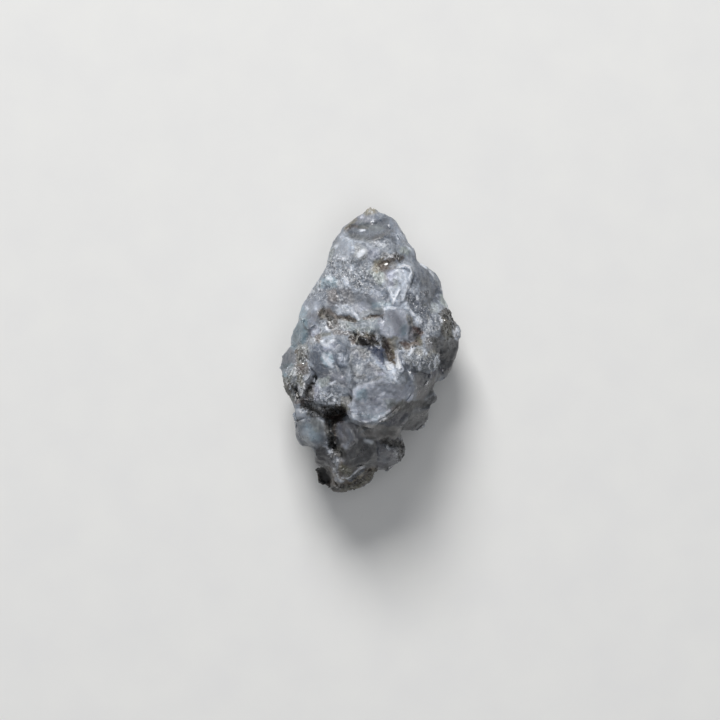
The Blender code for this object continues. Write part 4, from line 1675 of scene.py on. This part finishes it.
class StoneTree(Tree):
    """The crystal's nodes, with the noises and masks that its parts share."""

    def __init__(self):
        super().__init__("alexandrite_crystal")
        self.at = self.places()
        self.loose = self.bent(self.at, "loose")
        self.medium = self.noise(self.at, NOISE_MM["medium"], 6.0)
        self.fine = self.noise(self.at, NOISE_MM["fine"])
        self.patches = self.crystals(self.loose, "patch")
        self.flats = self.crystals(self.loose, "flat")
        self.grain = self.crystals(self.bent(self.at, "grain"), "grain")
        self.sugar = self.mark("sugar")
        self.glass = self.mark("glass")
        self.calm = self.span(self.glass, *CALM_BY_GLASS)
        self.tone = self.mark("tone", "Vector")
        self.pale = self.span(self.channel(self.tone, "Green"), *PALE_BY_GREEN)
        self.light = self.blend(1.0, self.tone, colour(FROST_AND_SPARKLE_WHITE), "SCREEN")
        self.dark = self.blend(1.0, self.tone, colour(DARK_VEIL), "MULTIPLY")
        self.speck = self.specks()
        chalk_and_glint_noise = self.span(self.fine, *CHALK_AND_GLINT_BY_NOISE)
        self.chalk_and_glint = self.times(self.mark("chalk_and_glint"), chalk_and_glint_noise)

    def specks(self):
        """Where bright specks lie, white grains and painted sparkle glints, in clusters and not on black.
        """
        cluster = self.span(self.medium, *CLUSTER_BY_NOISE)
        most = self.times(self.span(self.sugar, *SPECK_BY_SUGAR), cluster)
        noise = self.noise(self.at, NOISE_MM["speck"], 1.0)
        return self.times(self.span(noise, *SPECK_LEVELS, most), self.pale)

    def frosted(self, body):
        """The body with darker clouds and with frost."""
        cloudy = self.times(self.span(self.medium, *DARK_BY_NOISE), self.calm)
        body = self.blend(cloudy, body, self.dark)
        frost = self.times(self.span(self.fine, *FROST_BY_NOISE), self.span(self.sugar, *FROST_BY_SUGAR))
        frost = self.times(frost, self.pale)
        return self.blend(self.times(frost, self.calm), body, self.light)

    def patched(self, body):
        """The body with patches and small flats that differ in tone, partly at random and partly as
        painted shading of facets that catch the light differently.
        """
        patch = self.channel(self.patches, "Red")
        body = self.scaled(body, self.about_one(patch, self.span(self.glass, *PATCH_SWING_BY_GLASS)))
        flat = self.channel(self.flats, "Green")
        return self.scaled(body, self.about_one(flat, self.span(self.sugar, *FLAT_SWING_BY_SUGAR)))

    def marked(self, body):
        """The body with bright specks that are partly painted sparkle glints, dark pits, pale veins, and
        white chalk with painted glints.
        """
        body = self.blend(self.speck, body, self.light)
        most = self.span(self.sugar, *PIT_BY_SUGAR)
        pit = self.span(self.channel(self.grain, "Blue"), *PIT_LEVELS, most)
        body = self.blend(pit, body, self.dark)
        edge = self.crystals(self.bent(self.at, "vein"), "vein", "Distance", "DISTANCE_TO_EDGE")
        vein = self.span(edge, *VEIN_BY_EDGE)
        body = self.blend(self.times(vein, self.pale), body, self.light)
        return self.blend(self.chalk_and_glint, body, colour(WHITE))

    def roughness(self):
        """Rough crystal, smoother where it is glassy and on its specks."""
        rough = self.less(self.span(self.medium, *ROUGH_BY_NOISE), self.times(self.glass, POLISH))
        return self.less(rough, self.times(self.speck, POLISH))

    def clearness(self):
        """How much light passes: most where it is glassy, none through mica or through the white chalk and
        its painted glints.
        """
        clear = self.less(self.span(self.glass, *CLEAR_BY_GLASS), self.mark("mica"))
        return self.less(clear, self.chalk_and_glint)

    def relief(self):
        """Fine relief: swells, patches, flats and sugary grains, one on the other."""
        swell = self.times(self.medium, SWELL_MM, False)
        normal = self.bump(swell, self.times(self.calm, RELIEF_SHARES["swell"]))
        for name, cell in (("patch", self.patches), ("flat", self.flats)):
            strength = self.times(self.calm, RELIEF_SHARES[name])
            normal = self.bump(self.leaning(self.loose, cell), strength, Normal=normal)
        strength = self.span(self.sugar, *RELIEF_BY_SUGAR)
        return self.bump(self.leaning(self.at, self.grain), strength, Normal=normal)


def stone_material():
    """Frosted blue-grey crystal with glassy, stained and whitened parts."""
    tree = StoneTree()
    absorbing = {"Color": colour(ABSORB_COLOUR), "Density": ABSORB_PER_METRE}
    tree.put(tree.nodes["Material Output"].inputs["Volume"], tree.node("VolumeAbsorption", absorbing))
    return tree.finished({
        "Base Color": tree.marked(tree.patched(tree.frosted(tree.tone))),
        "Roughness": tree.roughness(),
        "IOR": CRYSTAL_IOR,
        "Transmission Weight": tree.clearness(),
        "Subsurface Weight": SCATTER_WEIGHT,
        "Subsurface Radius": SCATTER_RADIUS,
        "Subsurface Scale": SCATTER_MM * MM,
        "Normal": tree.relief(),
    })


def grain_material():
    """Small clear to white crystals."""
    tree = Tree("sugar_crystal")
    fine = tree.noise(tree.places(), NOISE_MM["grain"], 3.0)
    body = tree.mark("tone", "Vector")
    light = tree.blend(1.0, body, colour(FROST_AND_SPARKLE_WHITE), "SCREEN")
    return tree.finished({
        "Base Color": tree.blend(tree.span(fine, *GRAIN_LIGHT_BY_NOISE), body, light),
        "Roughness": tree.span(fine, *GRAIN_ROUGH_BY_NOISE),
        "IOR": CRYSTAL_IOR,
        "Transmission Weight": GRAIN_CLEAR,
    })


def flake_material():
    """Grey to silvery mica."""
    tree = Tree("mica")
    fine = tree.noise(tree.places(), NOISE_MM["mica"], 3.0)
    body = tree.mark("tone", "Vector")
    return tree.finished({
        "Base Color": tree.blend(tree.span(fine, *MICA_GREY_BY_NOISE), body, colour(MICA_GREY)),
        "Roughness": tree.span(fine, *MICA_ROUGH_BY_NOISE),
        "IOR": MICA_IOR,
        "Coat Weight": MICA_COAT,
    })


def floor_material():
    """Plain pale board with a faint grain."""
    tree = Tree("pale_board")
    share = tree.span(tree.noise(tree.places(), NOISE_MM["floor"], 3.0), *FLOOR_BY_NOISE)
    shade = tree.blend(share, *map(colour, FLOOR_TONES))
    return tree.finished({"Base Color": shade, "Roughness": FLOOR_ROUGHNESS})


def add_piece(name, mesh, material):
    """A piece that rides on the stone's body."""
    mesh.name = name
    mesh.materials.clear()
    mesh.materials.append(material)
    piece = bpy.data.objects.new(name, mesh)
    bpy.context.scene.collection.objects.link(piece)
    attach(piece, BODY)
    return piece


def add_stone():
    """The fine stone, which stands for the CAD node, with its grains, flakes and shards."""
    mesh = fine_stone()
    points = read_points(mesh)
    grains = grain_mesh(mesh)
    flakes = flake_mesh(mesh)
    shards = shard_mesh(mesh)
    give_colours(mesh, "tone", tone_of(points))
    give_values(mesh, "chalk_and_glint", chalk_and_glint_mask(points))
    for name in MASKS:
        give_values(mesh, name, mask_of(points, name))
    write_points(mesh, points * MM)
    mesh.polygons.foreach_set("use_smooth", [True] * len(mesh.polygons))
    mesh.set_sharp_from_angle(angle=math.radians(SHARP_FROM_DEG))
    stone = add_piece("alexandrite_stone", mesh, stone_material())
    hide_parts(NODE)
    small = grain_material()
    add_piece("sugar_grains", grains, small)
    add_piece("shards", shards, small)
    add_piece("mica_flakes", flakes, flake_material())


def add_floor():
    """The plain floor under the stone."""
    low, high = -FLOOR_HALF_M, FLOOR_HALF_M
    mesh = bpy.data.meshes.new("floor")
    corners = [(low, low, 0.0), (high, low, 0.0), (high, high, 0.0), (low, high, 0.0)]
    mesh.from_pydata(corners, [], [(0, 1, 2, 3)])
    mesh.materials.append(floor_material())
    floor = bpy.data.objects.new("floor", mesh)
    floor.location.z = -FLOOR_GAP_MM * MM
    bpy.context.scene.collection.objects.link(floor)


def add_light(name, place, power, size, tint):
    """A soft square light that looks at the stone."""
    data = bpy.data.lights.new(name, "AREA")
    data.energy = power
    data.size = size
    data.color = tint
    lamp = bpy.data.objects.new(name, data)
    lamp.location = place
    lamp.rotation_euler = (-Vector(place)).to_track_quat("-Z", "Y").to_euler()
    bpy.context.scene.collection.objects.link(lamp)


def add_lights():
    """Soft light from beyond the cap, a weaker one overhead and an even surround."""
    for light in LIGHTS:
        add_light(*light)
    world = bpy.data.worlds.new("surround")
    world.use_nodes = True
    for name, value in SURROUND.items():
        world.node_tree.nodes["Background"].inputs[name].default_value = value
    bpy.context.scene.world = world


def add_camera():
    """The camera looks straight down on the stone, framed as the drawing grid's middle."""
    data = bpy.data.cameras.new("camera")
    data.lens = LENS_MM
    data.sensor_width = SENSOR_MM
    data.clip_start = CLIP_START_MM * MM
    camera = bpy.data.objects.new("camera", data)
    x, y = on_grid(*FRAME_MIDDLE)
    camera.location = (x * MM, y * MM, CAMERA_HEIGHT_MM * MM)
    bpy.context.scene.collection.objects.link(camera)
    bpy.context.scene.camera = camera


add_camera()
add_lights()
add_floor()
add_stone()
bpy.context.scene.view_settings.view_transform = "Standard"
